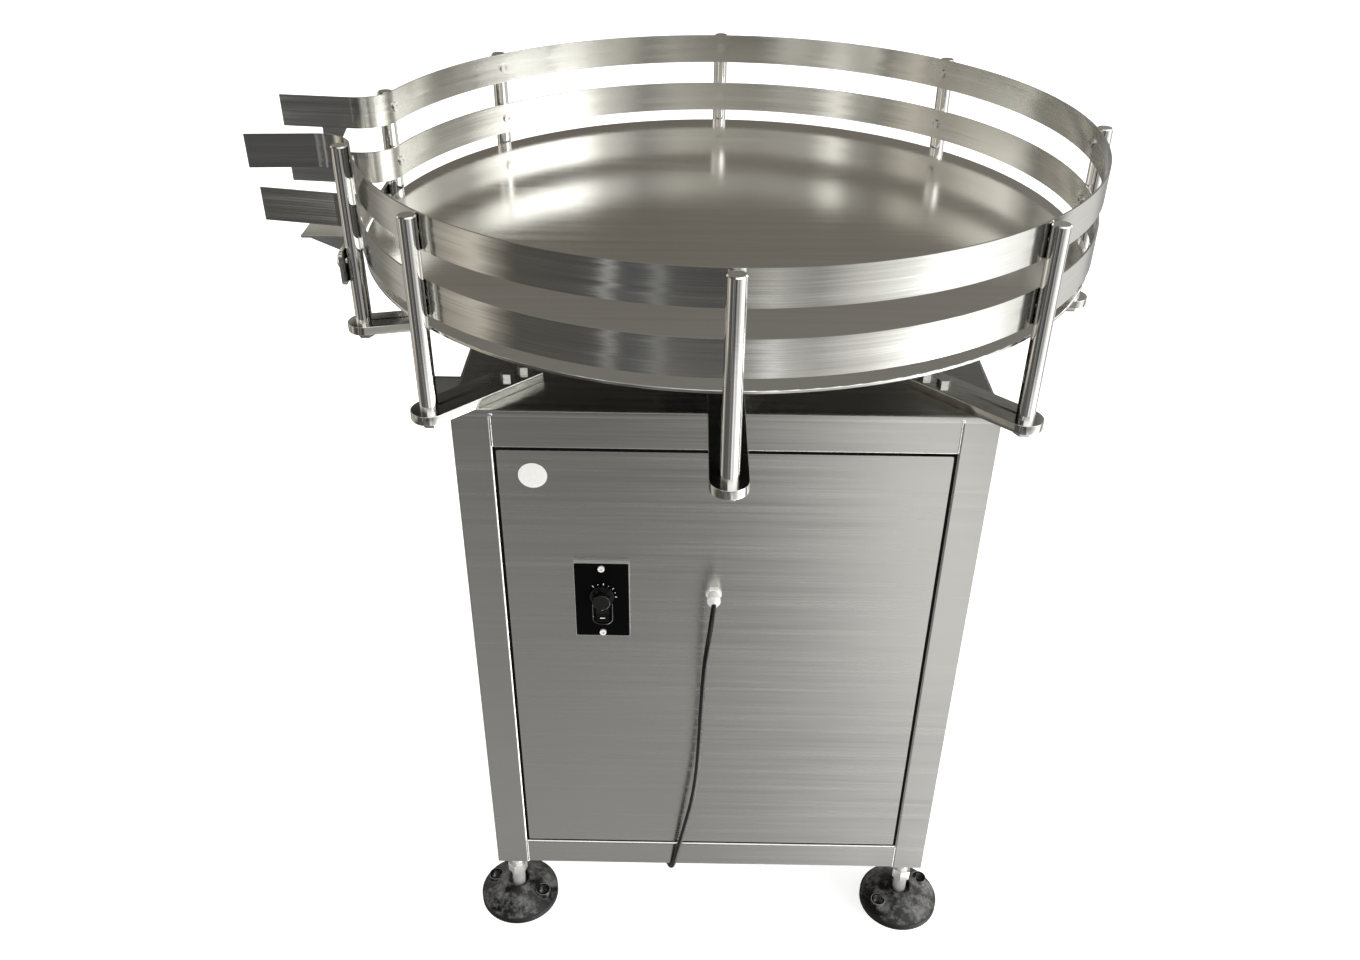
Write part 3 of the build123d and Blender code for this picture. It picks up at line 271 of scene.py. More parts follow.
def casting(name):
    """Black paint on a casting: the sloping top carries lighter speckled patches, partly wear and partly painted light,
    and the rim near the floor is rougher and stays black, a painted shade near the floor
    """
    m = Mat(name)
    fine = m.noise(m.coord, 620.0, 3.0, 0.65)
    spot = m.noise(m.coord, 150.0, 4.0, 0.68)
    slow = m.noise(m.coord, 34.0, 3.0, 0.6)
    part = m.t.nodes.new("ShaderNodeSeparateXYZ")
    m.put(part.inputs[0], m.coord)
    # up is 1 on the sloping top and 0 on the rim near the floor: the lighter patches go on the top only, painted light
    # there, and the rim is left black as painted shade
    up = m.range(part.outputs["Z"], 0.0092, 0.0112, 0.0, 1.0, smooth=True)
    rubbed_and_lit = m.math("MULTIPLY", m.range(m.math("ADD", m.math("MULTIPLY", slow, 0.55), m.math("MULTIPLY", spot, 0.45)), 0.47, 0.68, 0.0, 1.0), up)
    m.set(Base_Color=m.mix(rubbed_and_lit, (0.0014, 0.0014, 0.0014), (0.20, 0.20, 0.19)), Specular_IOR_Level=0.36)
    m.put(m.b.inputs["Roughness"], m.math("ADD", m.range(spot, 0.3, 0.7, 0.27, 0.40), m.math("MULTIPLY", m.math("SUBTRACT", 1.0, up), 0.35)))
    m.bump(m.math("ADD", m.math("MULTIPLY", fine, 0.5), m.math("MULTIPLY", spot, 0.8)), 0.32, 0.0005)
    return m


MATS = {
    "frame": brushed("frame_steel", 0.58, 0.24, spread=0.05, ragged=0.075),
    "panel": brushed("panel_steel", 0.58, 0.25, spread=0.05, ragged=0.065),
    # a darker base than the rest of the stainless: painted shade, for the top plate lying in the shadow under the disc
    "plate": brushed("plate_steel", 0.36, 0.20, along="x", spread=0.04),
    "rail": brushed("rail_steel", 0.57, 0.15, spread=0.08, ragged=0.12),
    "disc": brushed("disc_steel", 0.52, 0.13, along="x", spread=0.05, aniso=0.2),
    "bar": brushed("bar_steel", 0.55, 0.13, along="x", spread=0.06, aniso=0.2),
    "post": polished("post_steel", 0.70, 0.06),
    "bolt": polished("bolt_steel", 0.62, 0.18),
    "stud": polished("stud_zinc", 0.72, 0.15, tint=(1.0, 0.99, 0.95), metal=0.62),
    "iron": plastic("hub_iron", (0.045, 0.05, 0.055), 0.5, 500.0, 0.3),
    "alu": brushed("cast_aluminium", 0.55, 0.45, along="x", aniso=0.0),
    "motor": plastic("motor_paint", (0.10, 0.11, 0.12), 0.42, 600.0, 0.2),
    "belt": plastic("belt_rubber", (0.018, 0.018, 0.018), 0.7, 1500.0, 0.35),
    "face": plastic("control_black", (0.0012, 0.0012, 0.0012), 0.34, 1200.0, 0.05, spec=0.04),
    "knob": plastic("knob_black", (0.0022, 0.0022, 0.0022), 0.20, 1200.0, 0.04, coat=0.45, spec=0.25),
    "nylon": plastic("gland_nylon", (0.78, 0.78, 0.75), 0.34, 700.0, 0.06, wear=1.05),
    "cord": plastic("cord_black", (0.004, 0.004, 0.004), 0.34, 1600.0, 0.10, spec=0.22),
    "plug": plastic("plug_black", (0.014, 0.014, 0.014), 0.50, 1100.0, 0.2),
    "pad": casting("pad_black"),
    "side": plastic("controller_side", (0.30, 0.30, 0.29), 0.42, 900.0, 0.05, wear=1.1, spec=0.4),
    "screw": plastic("screw_zinc", (0.62, 0.62, 0.60), 0.35, 1400.0, 0.1, wear=1.15, spec=0.6),
    # pale grey for the rims round the anchor holes of the pads: a painted highlight on the boss edges
    "rim_highlight": plastic("pad_edge_painted_highlight", (0.20, 0.20, 0.19), 0.5, 900.0, 0.1, spec=0.4),
    "edge": brushed("edge_steel", 0.60, 0.22, spread=0.05, ragged=0.05),
    # near-black matte: painted shade in the gaps round the panels, and the liners round the pads' anchor holes
    "liner_and_gap_shade": plastic("black_liner_and_gap_shade", (0.003, 0.003, 0.003), 0.8, 1500.0, 0.1, spec=0.05),
    "brass": polished("pin_brass", 0.62, 0.22, tint=(1.0, 0.86, 0.55)),
}


def paint(node, key):
    o = NODES[node]
    o.data.materials.clear()
    o.data.materials.append(MATS[key].mat)


def give(obj, key):
    obj.data.materials.clear()
    obj.data.materials.append(MATS[key].mat)
    return obj


FINISH = {
    "frame": ["corner_posts", "top_rails", "bottom_rails"],
    "panel": ["front_panel", "rear_panel", "left_panel", "right_panel"],
    "plate": ["top_plate", "base_plate", "foot_plates", "panel_stops", "side_tabs", "disc_boss", "motor_plate"],
    "rail": ["guard_rail_upper", "guard_rail_lower", "rail_tie", "dead_plate", "plate_gussets"],
    "disc": ["disc"],
    "bar": ["support_bars", "post_clamps", "spindle", "motor_standoffs", "motor_shaft"],
    "post": ["guard_posts"],
    "bolt": ["post_bolts", "bar_bolts", "rail_screws", "clamp_bolts", "hub_bolts", "bearings", "housing_bolts", "motor_bolts"],
    "screw": ["controller_screws"],
    "stud": ["foot_stud_fl", "foot_stud_fr", "foot_stud_rl", "foot_stud_rr"],
    "iron": ["hub", "spindle_pulley", "bearing_housing", "motor_pulley"],
    "alu": ["gearbox"],
    "motor": ["motor"],
    "belt": ["drive_belt"],
    "face": ["controller_bezel", "controller_body"],
    "knob": ["speed_knob", "power_rocker"],
    "nylon": ["cable_gland", "gland_nut"],
    "cord": ["power_cord", "cord_coil"],
    "plug": ["plug"],
    "pad": ["foot_pad_fl", "foot_pad_fr", "foot_pad_rl", "foot_pad_rr"],
}
for key, names in FINISH.items():
    for n in names:
        paint(n, key)

# rounded edges, which catch the light from above
for name, width in (("top_plate", 0.0009), ("front_panel", 0.0010), ("rear_panel", 0.0010), ("left_panel", 0.0010), ("right_panel", 0.0010),
                    ("support_bars", 0.0007), ("dead_plate", 0.0005), ("side_tabs", 0.0006), ("post_clamps", 0.0006)):
    o = NODES[name]
    w = o.modifiers.new("weld", "WELD")
    w.merge_threshold = 0.000002
    b = o.modifiers.new("edge", "BEVEL")
    b.width = width
    b.segments = 3
    b.limit_method = "ANGLE"
    b.angle_limit = math.radians(50)
    b.use_clamp_overlap = True
    o.modifiers.new("shade", "WEIGHTED_NORMAL").weight = 100

# ---------------------------------------------------------------- mains cord
CORD_D = 0.0056
ROUTE = [
    (-6.7, -297.0, 535.5), (-8.1, -308.5, 534.0), (-10.0, -322.5, 527.5), (-12.7, -333.0, 514.0), (-15.4, -338.5, 493.0),
    (-17.1, -338.5, 459.0), (-18.4, -334.0, 412.0), (-19.3, -327.0, 358.0), (-21.2, -318.5, 302.0), (-25.4, -309.5, 248.0),
    (-32.8, -300.5, 196.0), (-40.2, -292.5, 149.0), (-45.2, -287.0, 114.0), (-48.6, -281.5, 93.0), (-52.0, -269.0, 77.0),
    (-56.5, -246.0, 60.5), (-61.0, -222.0, 46.0), (-65.5, -195.0, 31.0), (-69.3, -166.0, 16.0), (-72.0, -136.0, 5.8), (-73.0, -106.0, 3.0), (-73.0, -75.0, 2.9),
]
LEAD = [(-37.0, -29.0, 14.3), (-19.0, -28.1, 14.9), (-2.0, -25.5, 16.0), (15.0, -21.7, 17.4), (32.0, -20.0, 18.0)]
# the coil, in turns from where the cord reaches it: each slot is (radius, height) and lasts until the turn given
SLOTS = [(33.0, 2.9, 0.78), (27.2, 2.9, 1.66), (27.2, 8.6, 2.54), (33.0, 8.6, 3.42), (33.0, 14.3, 4.25)]
SHIFT = 0.12


def coil_point(t):
    r, z = SLOTS[0][:2]
    for (r0, z0, until), (r1, z1, _) in zip(SLOTS, SLOTS[1:]):
        s = min(1.0, max(0.0, (t - until) / SHIFT))
        s = s * s * (3 - 2 * s)
        if t > until:
            r, z = r0 + (r1 - r0) * s, z0 + (z1 - z0) * s
    a = math.pi - 2 * math.pi * t
    r /= 0.981
    return (-40.0 + r * math.cos(a), -62.0 + r * math.sin(a), z)


PER_TURN = 16
cord_points = list(ROUTE)
cord_points += [coil_point((k + 0.5) / PER_TURN) for k in range(int(4.25 * PER_TURN))]
cord_points += LEAD
curve = bpy.data.curves.new("mains_cord", "CURVE")
curve.dimensions = "3D"
curve.resolution_u = 6
curve.bevel_depth = CORD_D / 2
curve.bevel_resolution = 5
curve.use_fill_caps = True
spline = curve.splines.new("NURBS")
spline.points.add(len(cord_points) - 1)
for p, (x, y, z) in zip(spline.points, cord_points):
    p.co = (x / 1000, y / 1000, z / 1000, 1.0)
spline.order_u = 3
spline.use_endpoint_u = True
cord = link(bpy.data.objects.new("mains_cord", curve))
give(cord, "cord")
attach(cord, "cabinet")
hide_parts("power_cord", "cord_coil")

# the plug: ribbed strain relief, moulded body with finger grips, two pins
bm = bmesh.new()
relief = [(0.0, 0.0), (0.0040, 0.0)]
for k in range(7):
    h = 0.0006 + k * 0.0034
    r = 0.0042 + (k / 6.5) * 0.0024
    relief += [(r, h), (r, h + 0.0022), (r - 0.0009, h + 0.0024), (r - 0.0009, h + 0.0033)]
relief += [(0.0068, 0.0252), (0.0072, 0.0262), (0.0112, 0.0270), (0.0150, 0.0292), (0.0172, 0.0330), (0.0176, 0.0372), (0.0164, 0.0400),
           (0.0161, 0.0440), (0.0164, 0.0480), (0.0176, 0.0508), (0.0180, 0.0545), (0.0179, 0.0572), (0.0172, 0.0580), (0.0, 0.0580)]
lathe(bm, relief, (0.032, -0.020, 0.018), (1, 0, 0), 56)
plug = mesh_object("mains_plug", bm, 35)
give(plug, "plug")
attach(plug, "cabinet")
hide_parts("plug")
bm = bmesh.new()
for s in (-1, 1):
    lathe(bm, [(0.0, 0.0), (0.0024, 0.0), (0.0024, 0.0172), (0.0021, 0.0184), (0.0013, 0.0190), (0.0, 0.0190)], (0.0898, -0.020 + s * 0.0095, 0.018), (1, 0, 0), 28)
pins = mesh_object("plug_pins", bm, 35)
give(pins, "brass")
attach(pins, "cabinet")

# ---------------------------------------------------------------- stage
FLOOR = bpy.data.materials.new("floor_white")
FLOOR.use_nodes = True
ft = FLOOR.node_tree
fb = ft.nodes["Principled BSDF"]
fb.inputs["Base Color"].default_value = (0.93, 0.93, 0.925, 1.0)
fb.inputs["Roughness"].default_value = 0.9
fb.inputs["Specular IOR Level"].default_value = 0.0
lp = ft.nodes.new("ShaderNodeLightPath")
clear = ft.nodes.new("ShaderNodeBsdfTransparent")
pick = ft.nodes.new("ShaderNodeMixShader")
fb.inputs["Emission Color"].default_value = (1.0, 1.0, 0.995, 1.0)
fb.inputs["Emission Strength"].default_value = 0.62
ft.links.new(lp.outputs["Is Glossy Ray"], pick.inputs[0])
ft.links.new(fb.outputs[0], pick.inputs[1])
ft.links.new(clear.outputs[0], pick.inputs[2])
ft.links.new(pick.outputs[0], ft.nodes["Material Output"].inputs["Surface"])
bm = bmesh.new()
bmesh.ops.create_circle(bm, cap_ends=True, radius=14.0, segments=96)
floor = mesh_object("floor", bm)
floor.data.materials.append(FLOOR)
# below the pads at the end of their levelling travel, so that they stay whole at every pose
floor.location.z = -0.0258

# ---------------------------------------------------------------- surroundings: a grey studio, seen only in the metal
world = bpy.data.worlds.new("studio")
scene.world = world
world.use_nodes = True
wt = world.node_tree
for n in list(wt.nodes):
    wt.nodes.remove(n)


class Sky(Mat):
    def __init__(self, tree):
        self.t = tree


sky = Sky(wt)
geo = wt.nodes.new("ShaderNodeTexCoord")
sep = wt.nodes.new("ShaderNodeSeparateXYZ")
wt.links.new(geo.outputs["Generated"], sep.inputs[0])
azimuth = sky.math("ARCTAN2", sep.outputs["Y"], sep.outputs["X"])
turn = sky.range(azimuth, -math.pi, math.pi, 0.0, 1.0)


def at(deg):
    return (deg + 180.0) / 360.0


def grey(v, warm=0.0):
    return (v * (1 + 0.10 * warm), v, v * (1 - 0.16 * warm))


# walls of the room by direction, in degrees from +X, in bands from the floor up
deep = sky.ramp(turn, [
    (at(-180), grey(0.50, 0.6)), (at(-160), grey(0.60, 0.5)), (at(-140), grey(0.32, 0.4)), (at(-118), grey(0.42, 0.2)),
    (at(-100), grey(0.44, 0.1)), (at(-90), grey(0.46, 0.1)), (at(-84), grey(0.47, 0.1)), (at(-77), grey(0.66, 0.0)),
    (at(-71), grey(0.60, 0.0)), (at(-66), grey(0.62, 0.1)), (at(-30), grey(6.00, 0.0)), (at(-6), grey(6.00, 0.0)), (at(14), grey(0.30, 0.1)), (at(50), grey(0.30, 0.1)),
    (at(120), grey(0.12, 0.3)), (at(180), grey(0.50, 0.6))])
mid = sky.ramp(turn, [
    (at(-180), grey(0.30, 0.8)), (at(-170), grey(0.12, 0.5)), (at(-158), grey(0.10, 0.5)), (at(-150), grey(0.13, 0.6)),
    (at(-134), grey(0.12, 0.4)), (at(-121), grey(0.13, 0.0)), (at(-112), grey(0.26, 0.0)), (at(-106), grey(0.26, 0.1)),
    (at(-99), grey(0.22, 0.1)), (at(-89), grey(0.22, 0.1)), (at(-86), grey(0.32, 0.1)), (at(-81), grey(0.74, 0.1)),
    (at(-76), grey(1.62, 0.0)), (at(-71), grey(1.00, 0.1)), (at(-62), grey(0.85, 0.1)), (at(-46), grey(1.20, 0.2)),
    (at(-33), grey(3.00, 0.1)), (at(-24), grey(7.00, 0.0)), (at(-6), grey(6.00, 0.0)), (at(8), grey(1.30, 0.1)),
    (at(16), grey(0.12, 0.1)), (at(30), grey(1.05, 0.1)), (at(45), grey(0.80, 0.2)), (at(58), grey(0.42, 0.0)),
    (at(76), grey(0.36, 0.2)), (at(86), grey(0.08, 0.4)), (at(114), grey(0.05, 0.5)), (at(130), grey(0.16, 0.5)),
    (at(150), grey(0.70, 0.5)), (at(168), grey(0.62, 0.5)), (at(180), grey(0.30, 0.8))])
low = sky.ramp(turn, [
    (at(-180), grey(0.52, 0.8)), (at(-169), grey(0.90, 0.8)), (at(-163), grey(0.42, 0.7)), (at(-156), grey(0.12, 0.6)),
    (at(-136), grey(0.10, 0.4)), (at(-128), grey(0.12, 0.1)), (at(-125), grey(0.70, 0.1)), (at(-122), grey(0.12, 0.0)),
    (at(-113), grey(0.12, 0.0)), (at(-110), grey(0.40, 0.0)), (at(-107), grey(0.10, 0.0)), (at(-90), grey(0.07, 0.1)),
    (at(-84), grey(0.42, 0.3)), (at(-78), grey(0.50, 0.4)), (at(-64), grey(0.34, 0.2)), (at(-50), grey(0.88, 0.2)),
    (at(-36), grey(1.20, 0.1)), (at(-25), grey(1.75, 0.0)), (at(-4), grey(1.62, 0.0)), (at(7), grey(1.45, 0.1)),
    (at(13), grey(0.10, 0.1)), (at(20), grey(0.10, 0.1)), (at(27), grey(1.05, 0.1)), (at(47), grey(0.80, 0.2)),
    (at(58), grey(0.36, 0.0)), (at(72), grey(0.50, 0.0)), (at(100), grey(0.22, 0.3)), (at(125), grey(0.20, 0.5)),
    (at(142), grey(0.26, 0.5)), (at(154), grey(0.66, 0.5)), (at(170), grey(0.30, 0.5)), (at(180), grey(0.52, 0.8))])
above = sky.ramp(turn, [
    (at(-180), grey(1.20, 0.5)), (at(-172), grey(0.85, 0.6)), (at(-159), grey(1.25, 0.6)), (at(-147), grey(0.55, 0.5)),
    (at(-138), grey(0.90, 0.3)), (at(-131), grey(2.60, 0.2)), (at(-122), grey(1.00, 0.3)), (at(-102), grey(0.62, 0.5)),
    (at(-86), grey(0.75, 0.5)), (at(-74), grey(0.95, 0.4)), (at(-61), grey(0.50, 0.3)), (at(-47), grey(1.60, 0.2)),
    (at(-36), grey(4.60, 0.0)), (at(-14), grey(4.60, 0.0)), (at(-3), grey(3.20, 0.1)), (at(10), grey(1.10, 0.3)),
    (at(25), grey(1.10, 0.3)), (at(40), grey(2.20, 0.2)), (at(50), grey(3.60, 0.0)), (at(60), grey(1.20, 0.2)),
    (at(68), grey(0.32, 0.6)), (at(80), grey(0.24, 0.8)), (at(92), grey(0.20, 0.9)), (at(106), grey(0.22, 0.9)),
    (at(116), grey(0.45, 0.6)), (at(127), grey(1.06, 0.4)), (at(142), grey(0.50, 0.4)),
    (at(157), grey(2.10, 0.3)), (at(172), grey(1.60, 0.4)), (at(180), grey(1.20, 0.5))])
high = sky.ramp(turn, [
    (at(-180), grey(0.10, 0.5)), (at(-118), grey(0.12, 0.3)), (at(-104), grey(2.10, 0.0)), (at(-62), grey(2.40, 0.0)),
    (at(-34), grey(2.60, 0.0)), (at(0), grey(2.20, 0.0)), (at(30), grey(0.70, 0.1)), (at(55), grey(0.34, 0.3)), (at(76), grey(0.32, 0.4)), (at(92), grey(0.30, 0.4)),
    (at(110), grey(0.32, 0.4)), (at(150), grey(0.30, 0.5)), (at(180), grey(0.12, 0.5))])
height = sep.outputs["Z"]
room = sky.mix(sky.range(height, -0.56, -0.74, 0.0, 1.0, smooth=True), mid, deep)
room = sky.mix(sky.range(height, -0.468, -0.444, 0.0, 1.0, smooth=True), room, low)
room = sky.mix(sky.range(height, -0.05, 0.12, 0.0, 1.0, smooth=True), room, above)
room = sky.mix(sky.range(height, 0.36, 0.50, 0.0, 1.0, smooth=True), room, high)
room = sky.mix(sky.range(height, 0.88, 0.97, 0.0, 1.0, smooth=True), room, (0.98, 0.98, 0.965))
paths = wt.nodes.new("ShaderNodeLightPath")
seen = sky.mix(paths.outputs["Is Diffuse Ray"], room, (0.74, 0.74, 0.733))
seen = sky.mix(paths.outputs["Is Camera Ray"], seen, (1.0, 1.0, 0.995))
background = wt.nodes.new("ShaderNodeBackground")
wt.links.new(seen, background.inputs["Color"])
background.inputs["Strength"].default_value = 1.0
wout = wt.nodes.new("ShaderNodeOutputWorld")
wt.links.new(background.outputs[0], wout.inputs["Surface"])


def lamp(name, place, target, size, watts, colour=(1.0, 1.0, 1.0), size_y=None):
    d = bpy.data.lights.new(name, "AREA")
    d.shape = "RECTANGLE"
    d.size, d.size_y = size, size_y or size
    d.energy = watts
    d.color = colour
    o = link(bpy.data.objects.new(name, d))
    o.location = place
    o.rotation_mode = "QUATERNION"
    o.rotation_quaternion = (Vector(target) - Vector(place)).to_track_quat("-Z", "Y")
    o.visible_glossy = False
    return o


lamp("overhead", (0.3, 0.2, 3.6), (0.0, 0.0, 0.5), 2.6, 30.0)
lamp("right_soft", (2.6, -2.4, 1.5), (0.0, -0.1, 0.3), 1.3, 62.0, (1.0, 0.99, 0.97))

# ---------------------------------------------------------------- small things on the front
PANEL_Y = -0.274
BEZEL_Y = -0.280

# weld beads where the rails of the frame meet its posts, and a blob of weld at the top of each front joint
def noise1(t, seed):
    """a smooth wander between -1 and 1"""
    return 0.5 * math.sin(t * 1.7 + seed) + 0.3 * math.sin(t * 4.3 + 2.1 * seed) + 0.2 * math.sin(t * 9.1 + 0.7 * seed)


def bead(bm, start, end, out, width, height, seed):
    """a low half-round ridge from start to end, standing out along out"""
    start, end, out = Vector(start), Vector(end), Vector(out)
    along = (end - start).normalized()
    side = along.cross(out)
    length = (end - start).length
    n = max(6, int(length / 0.0012))
    rows = []
    for i in range(n + 1):
        t = i / n
        f = 0.35 if i in (0, n) else 1.0
        w = f * width / 2 * (1 + 0.22 * noise1(i * 0.9, seed))
        h = f * height * (1 + 0.3 * noise1(i * 1.3, seed + 3))
        c = start.lerp(end, t) + side * (0.00012 * noise1(i * 0.6, seed + 5))
        rows.append([bm.verts.new(c + side * (w * math.cos(a)) + out * (h * math.sin(a) - 0.00005)) for a in [math.pi * k / 6 for k in range(7)]])
    for a, b in zip(rows, rows[1:]):
        for k in range(6):
            bm.faces.new((a[k], a[k + 1], b[k + 1], b[k]))
        bm.faces.new((a[0], b[0], b[6], a[6]))
    bm.faces.new(rows[0])
    bm.faces.new(rows[-1])


bm = bmesh.new()
seed = 1.0
for turn4 in range(4):
    q = Matrix.Rotation(turn4 * math.pi / 2, 3, "Z")
    for x in (-0.235, 0.235):
        for z0, z1 in ((0.7190, 0.7572), (0.0890, 0.1280)):
            bead(bm, q @ Vector((x, -0.275, z0)), q @ Vector((x, -0.275, z1)), q @ Vector((0, -1, 0)), 0.0014, 0.00035, seed)
            seed += 1.7
        bead(bm, q @ Vector((x - 0.0022, -0.2746, 0.7574)), q @ Vector((x + 0.0030, -0.2746, 0.7570)), q @ Vector((0, -0.8, 0.6)), 0.0030, 0.0012, seed)
welds = mesh_object("weld_beads", bm, 60)
give(welds, "bolt")
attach(welds, "cabinet")

# the weld between the top plate and the frame is ground flush: a smooth skin with a rounded, bright upper edge
bm = bmesh.new()
skin = [(0.27512, 0.7545), (0.27518, 0.7550), (0.27518, 0.7600)]
skin += [(0.27518 - 0.0019 * (1 - math.cos(a)), 0.7600 + 0.0019 * math.sin(a)) for a in [math.pi / 2 * k / 10 for k in range(1, 11)]]
skin += [(0.2722, 0.76190), (0.2721, 0.7610), (0.2745, 0.7545)]
loops = []
for sx, sy in ((-1, -1), (1, -1), (1, 1), (-1, 1)):
    loops.append([bm.verts.new((sx * r, sy * r, z)) for r, z in skin])
for a, b in zip(loops, loops[1:] + loops[:1]):
    for k in range(len(skin)):
        n = (k + 1) % len(skin)
        bm.faces.new((a[k], b[k], b[n], a[n]))
flush = mesh_object("top_edge_weld", bm, 30)
give(flush, "edge")
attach(flush, "cabinet")

# black strips in the gaps round the four panels: painted shade, dark where the gaps lie in shadow
bm = bmesh.new()
for turn4 in range(4):
    q = Matrix.Rotation(turn4 * math.pi / 2, 3, "Z")
    for (x0, x1), (z0, z1) in (((-0.2350, -0.2320), (0.1285, 0.7177)), ((0.2320, 0.2350), (0.1285, 0.7177)),
                               ((-0.2320, 0.2320), (0.7147, 0.7177)), ((-0.2320, 0.2320), (0.1285, 0.1315))):
        c = [q @ Vector((x, y, z)) for x in (x0, x1) for y in (-0.2730, -0.2712) for z in (z0, z1)]
        v = [bm.verts.new(p) for p in c]
        for f in ((0, 1, 3, 2), (4, 6, 7, 5), (0, 4, 5, 1), (2, 3, 7, 6), (0, 2, 6, 4), (1, 5, 7, 3)):
            bm.faces.new([v[i] for i in f])
gap_shade = mesh_object("panel_gap_shade", bm)
give(gap_shade, "liner_and_gap_shade")
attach(gap_shade, "cabinet")

# pale rims round the anchor holes of the pads: a painted highlight on the boss edges
for tag, fx, fy, turned in (("fl", -0.254, -0.254, -20), ("fr", 0.254, -0.254, 32), ("rl", -0.254, 0.254, 25), ("rr", 0.254, 0.254, -15)):
    bm = bmesh.new()
    for side in (-1, 1):
        x, y = fx + side * 0.035 * math.cos(math.radians(turned)), fy + side * 0.035 * math.sin(math.radians(turned))
        lathe(bm, [(0.0086, 0.0), (0.0087, 0.00018), (0.0090, 0.00028), (0.0093, 0.00022), (0.0095, 0.0), (0.0090, -0.0002), (0.0086, 0.0)], (x, y, 0.02202), (0, 0, 1), 40)
    rims = mesh_object("anchor_rims_" + tag, bm, 35)
    give(rims, "rim_highlight")
    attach(rims, "foot_" + tag)
    bm = bmesh.new()
    for side in (-1, 1):
        x, y = fx + side * 0.035 * math.cos(math.radians(turned)), fy + side * 0.035 * math.sin(math.radians(turned))
        lathe(bm, [(0.0067, 0.0), (0.0067, 0.00012), (0.0086, 0.00012), (0.0086, 0.0), (0.0067, 0.0)], (x, y, 0.02201), (0, 0, 1), 40)
    liners = mesh_object("anchor_liners_" + tag, bm, 35)
    give(liners, "liner_and_gap_shade")
    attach(liners, "foot_" + tag)

# a raised guard down both sides of the rocker and round below it, open at the top where the knob's skirt is
bm = bmesh.new()
gx, g_top, g_low, gw, gr = -0.1285, 0.5235, 0.4942, 0.0108, 0.0085
path = [(gx + gw, g_top), (gx + gw, 0.5130)]
path += [(gx + gw - gr + gr * math.cos(a), g_low + gr + gr * math.sin(a)) for a in [-math.pi / 2 * k / 9 for k in range(10)]]
path += [(gx - gw + gr + gr * math.cos(a), g_low + gr + gr * math.sin(a)) for a in [-math.pi / 2 - math.pi / 2 * k / 9 for k in range(10)]]
path += [(gx - gw, 0.5130), (gx - gw, g_top)]
section = [(-0.0007, -0.00005), (-0.0006, 0.0009), (0.0, 0.0012), (0.0006, 0.0009), (0.0007, -0.00005)]
rings = []
for i in range(len(path)):
    (xa, za), (xb, zb) = path[max(i - 1, 0)], path[min(i + 1, len(path) - 1)]
    d = math.hypot(xb - xa, zb - za)
    nx, nz = (zb - za) / d, -(xb - xa) / d
    rings.append([bm.verts.new((path[i][0] + nx * o, -0.280 - h, path[i][1] + nz * o)) for o, h in section])
for a, b in zip(rings, rings[1:]):
    for k in range(len(section)):
        k2 = (k + 1) % len(section)
        bm.faces.new((a[k], b[k], b[k2], a[k2]))
bm.faces.new(rings[0])
bm.faces.new(rings[-1])
guard = mesh_object("rocker_guard", bm, 50)
give(guard, "knob")
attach(guard, "cabinet")

# blank round sticker
bm = bmesh.new()
lathe(bm, [(0.0, 0.00026), (0.0138, 0.00026), (0.01495, 0.00018), (0.0150, 0.0), (0.0, 0.0)], (-0.1963, PANEL_Y, 0.6847), (0, -1, 0), 72)
sticker = mesh_object("round_sticker", bm, 35)
STICK = Mat("sticker_paper")
grain = STICK.noise(STICK.coord, 500.0, 3.0, 0.6)
STICK.set(Base_Color=STICK.ramp(grain, [(0.35, (0.56, 0.56, 0.54)), (0.7, (0.62, 0.62, 0.60))]))
STICK.set(Roughness=0.5, Specular_IOR_Level=0.2)
STICK.bump(grain, 0.04, 0.0002)
sticker.data.materials.append(STICK.mat)
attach(sticker, "cabinet")

INK = Mat("dial_ink")
ig = INK.noise(INK.coord, 1500.0, 2.0, 0.6)
INK.set(Base_Color=INK.ramp(ig, [(0.35, (0.62, 0.62, 0.60)), (0.7, (0.74, 0.74, 0.72))]))
INK.set(Roughness=0.5)

# light rim round the black face of the controller
bm = bmesh.new()
cx, cz = -0.1285, 0.527
w, h, t = 0.0300, 0.0505, 0.00048
for lo, hi in (((cx - w, PANEL_Y - 0.0052, cz - h), (cx - w + t, PANEL_Y - 0.00002, cz + h)),
               ((cx + w - t, PANEL_Y - 0.0052, cz - h), (cx + w, PANEL_Y - 0.00002, cz + h)),
               ((cx - w + t, PANEL_Y - 0.0052, cz + h - t), (cx + w - t, PANEL_Y - 0.00002, cz + h)),
               ((cx - w + t, PANEL_Y - 0.0052, cz - h), (cx + w - t, PANEL_Y - 0.00002, cz - h + t))):
    box(bm, lo, hi)
rim = mesh_object("controller_rim", bm)
give(rim, "side")
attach(rim, "cabinet")

# dial ticks round the knob, and a dot beside the rocker
bm = bmesh.new()
kz = 0.5341


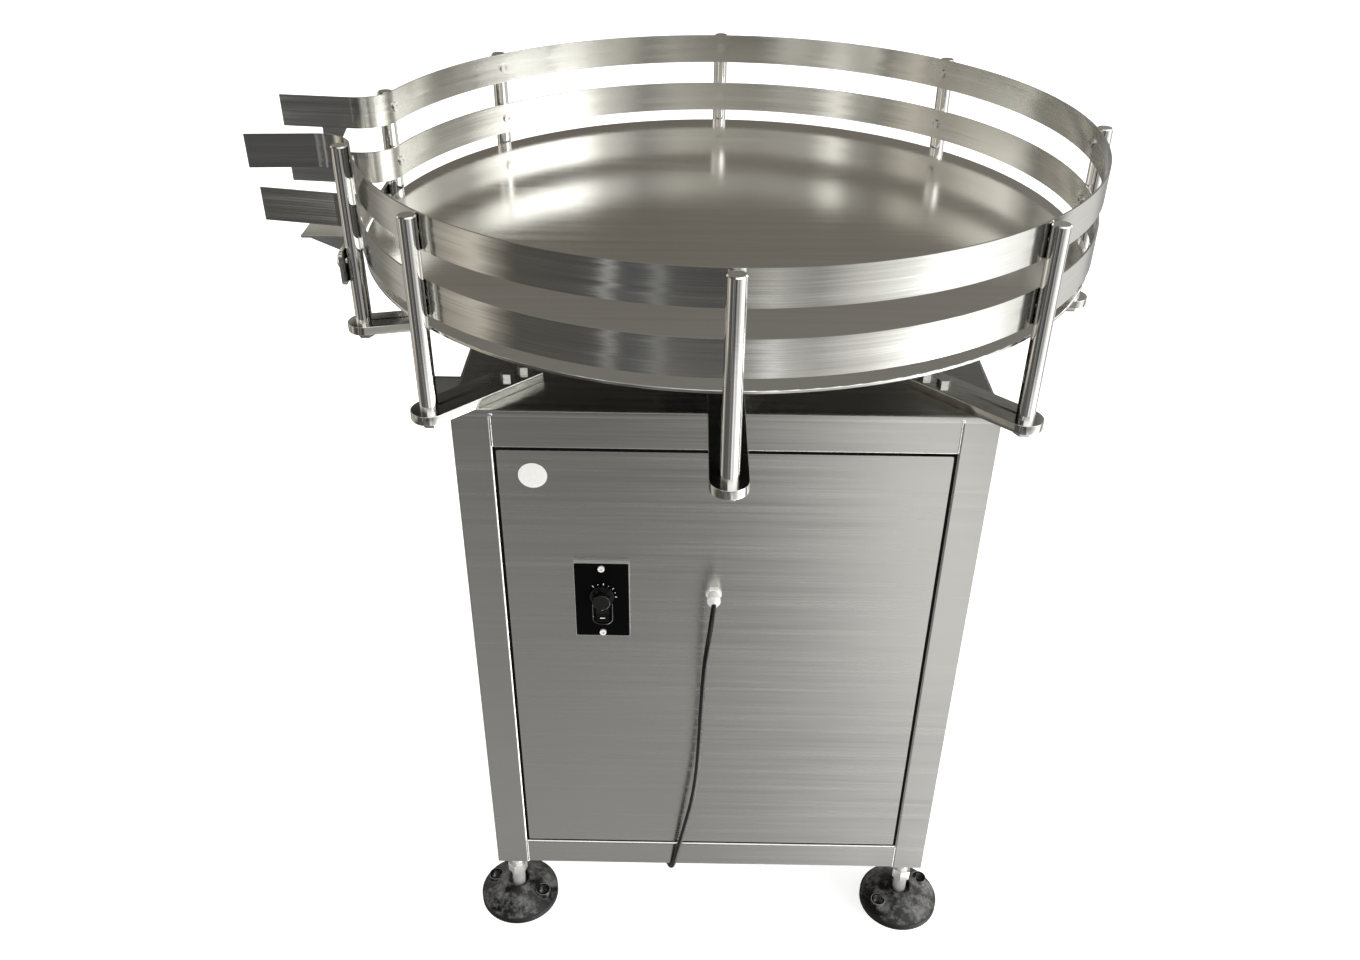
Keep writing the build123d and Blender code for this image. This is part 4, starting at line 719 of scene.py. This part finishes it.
def tick(a, r0, r1, width):
    """a flat stroke on the face, pointing away from the knob's centre; a is in degrees from straight up, clockwise"""
    s, c = math.sin(math.radians(a)), math.cos(math.radians(a))
    out, side = Vector((s, 0, c)), Vector((c, 0, -s))
    centre = Vector((cx, 0, kz))
    base = [centre + out * r + side * (k * width / 2) for r, k in ((r0, -1), (r0, 1), (r1, 1), (r1, -1))]
    lo = [bm.verts.new((p.x, BEZEL_Y + 0.00001, p.z)) for p in base]
    hi = [bm.verts.new((p.x, BEZEL_Y - 0.00012, p.z)) for p in base]
    bm.faces.new(lo)
    bm.faces.new(hi)
    for i in range(4):
        j = (i + 1) % 4
        bm.faces.new((lo[i], lo[j], hi[j], hi[i]))


for k in range(7):
    tick(-38 + 22.5 * k, 0.0142, 0.0156 if k % 2 else 0.0166, 0.0005 if k % 2 else 0.0008)
# a dot beside the rocker
for (x, z), (rw, rh) in (((cx - 0.0102, 0.5040), (0.0006, 0.0006)),):
    v = [bm.verts.new((x + rw * math.cos(a), BEZEL_Y - 0.00012, z + rh * math.sin(a))) for a in [math.pi * i / 6 for i in range(12)]]
    bm.faces.new(v)
ticks = mesh_object("dial_ticks", bm)
ticks.data.materials.append(INK.mat)
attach(ticks, "cabinet")

# the plain on and off strokes on the rocker, which tilt with it
bm = bmesh.new()
tilt = math.radians(9.0)


def on_rocker(x, u, v):
    """a point on the rocker, u up its face and v out of it, from its pivot, before it tilts"""
    return (x, -0.275 - (v * math.cos(tilt) - u * math.sin(tilt)), 0.508 + v * math.sin(tilt) + u * math.cos(tilt))


def face_v(u):
    return 0.0054 + 0.0012 * abs(u) / 0.0101


for u0, u1, x0, x1 in ((-0.0058, -0.0049, -0.0028, 0.0028), (0.0044, 0.0068, -0.0004, 0.0004)):
    lo = [bm.verts.new(on_rocker(cx + x, u, face_v(u) - 0.00002)) for x, u in ((x0, u0), (x1, u0), (x1, u1), (x0, u1))]
    hi = [bm.verts.new(on_rocker(cx + x, u, face_v(u) + 0.00012)) for x, u in ((x0, u0), (x1, u0), (x1, u1), (x0, u1))]
    bm.faces.new(lo)
    bm.faces.new(hi)
    for i in range(4):
        j = (i + 1) % 4
        bm.faces.new((lo[i], lo[j], hi[j], hi[i]))
strokes = mesh_object("rocker_strokes", bm)
strokes.data.materials.append(INK.mat)
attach(strokes, "rocker")
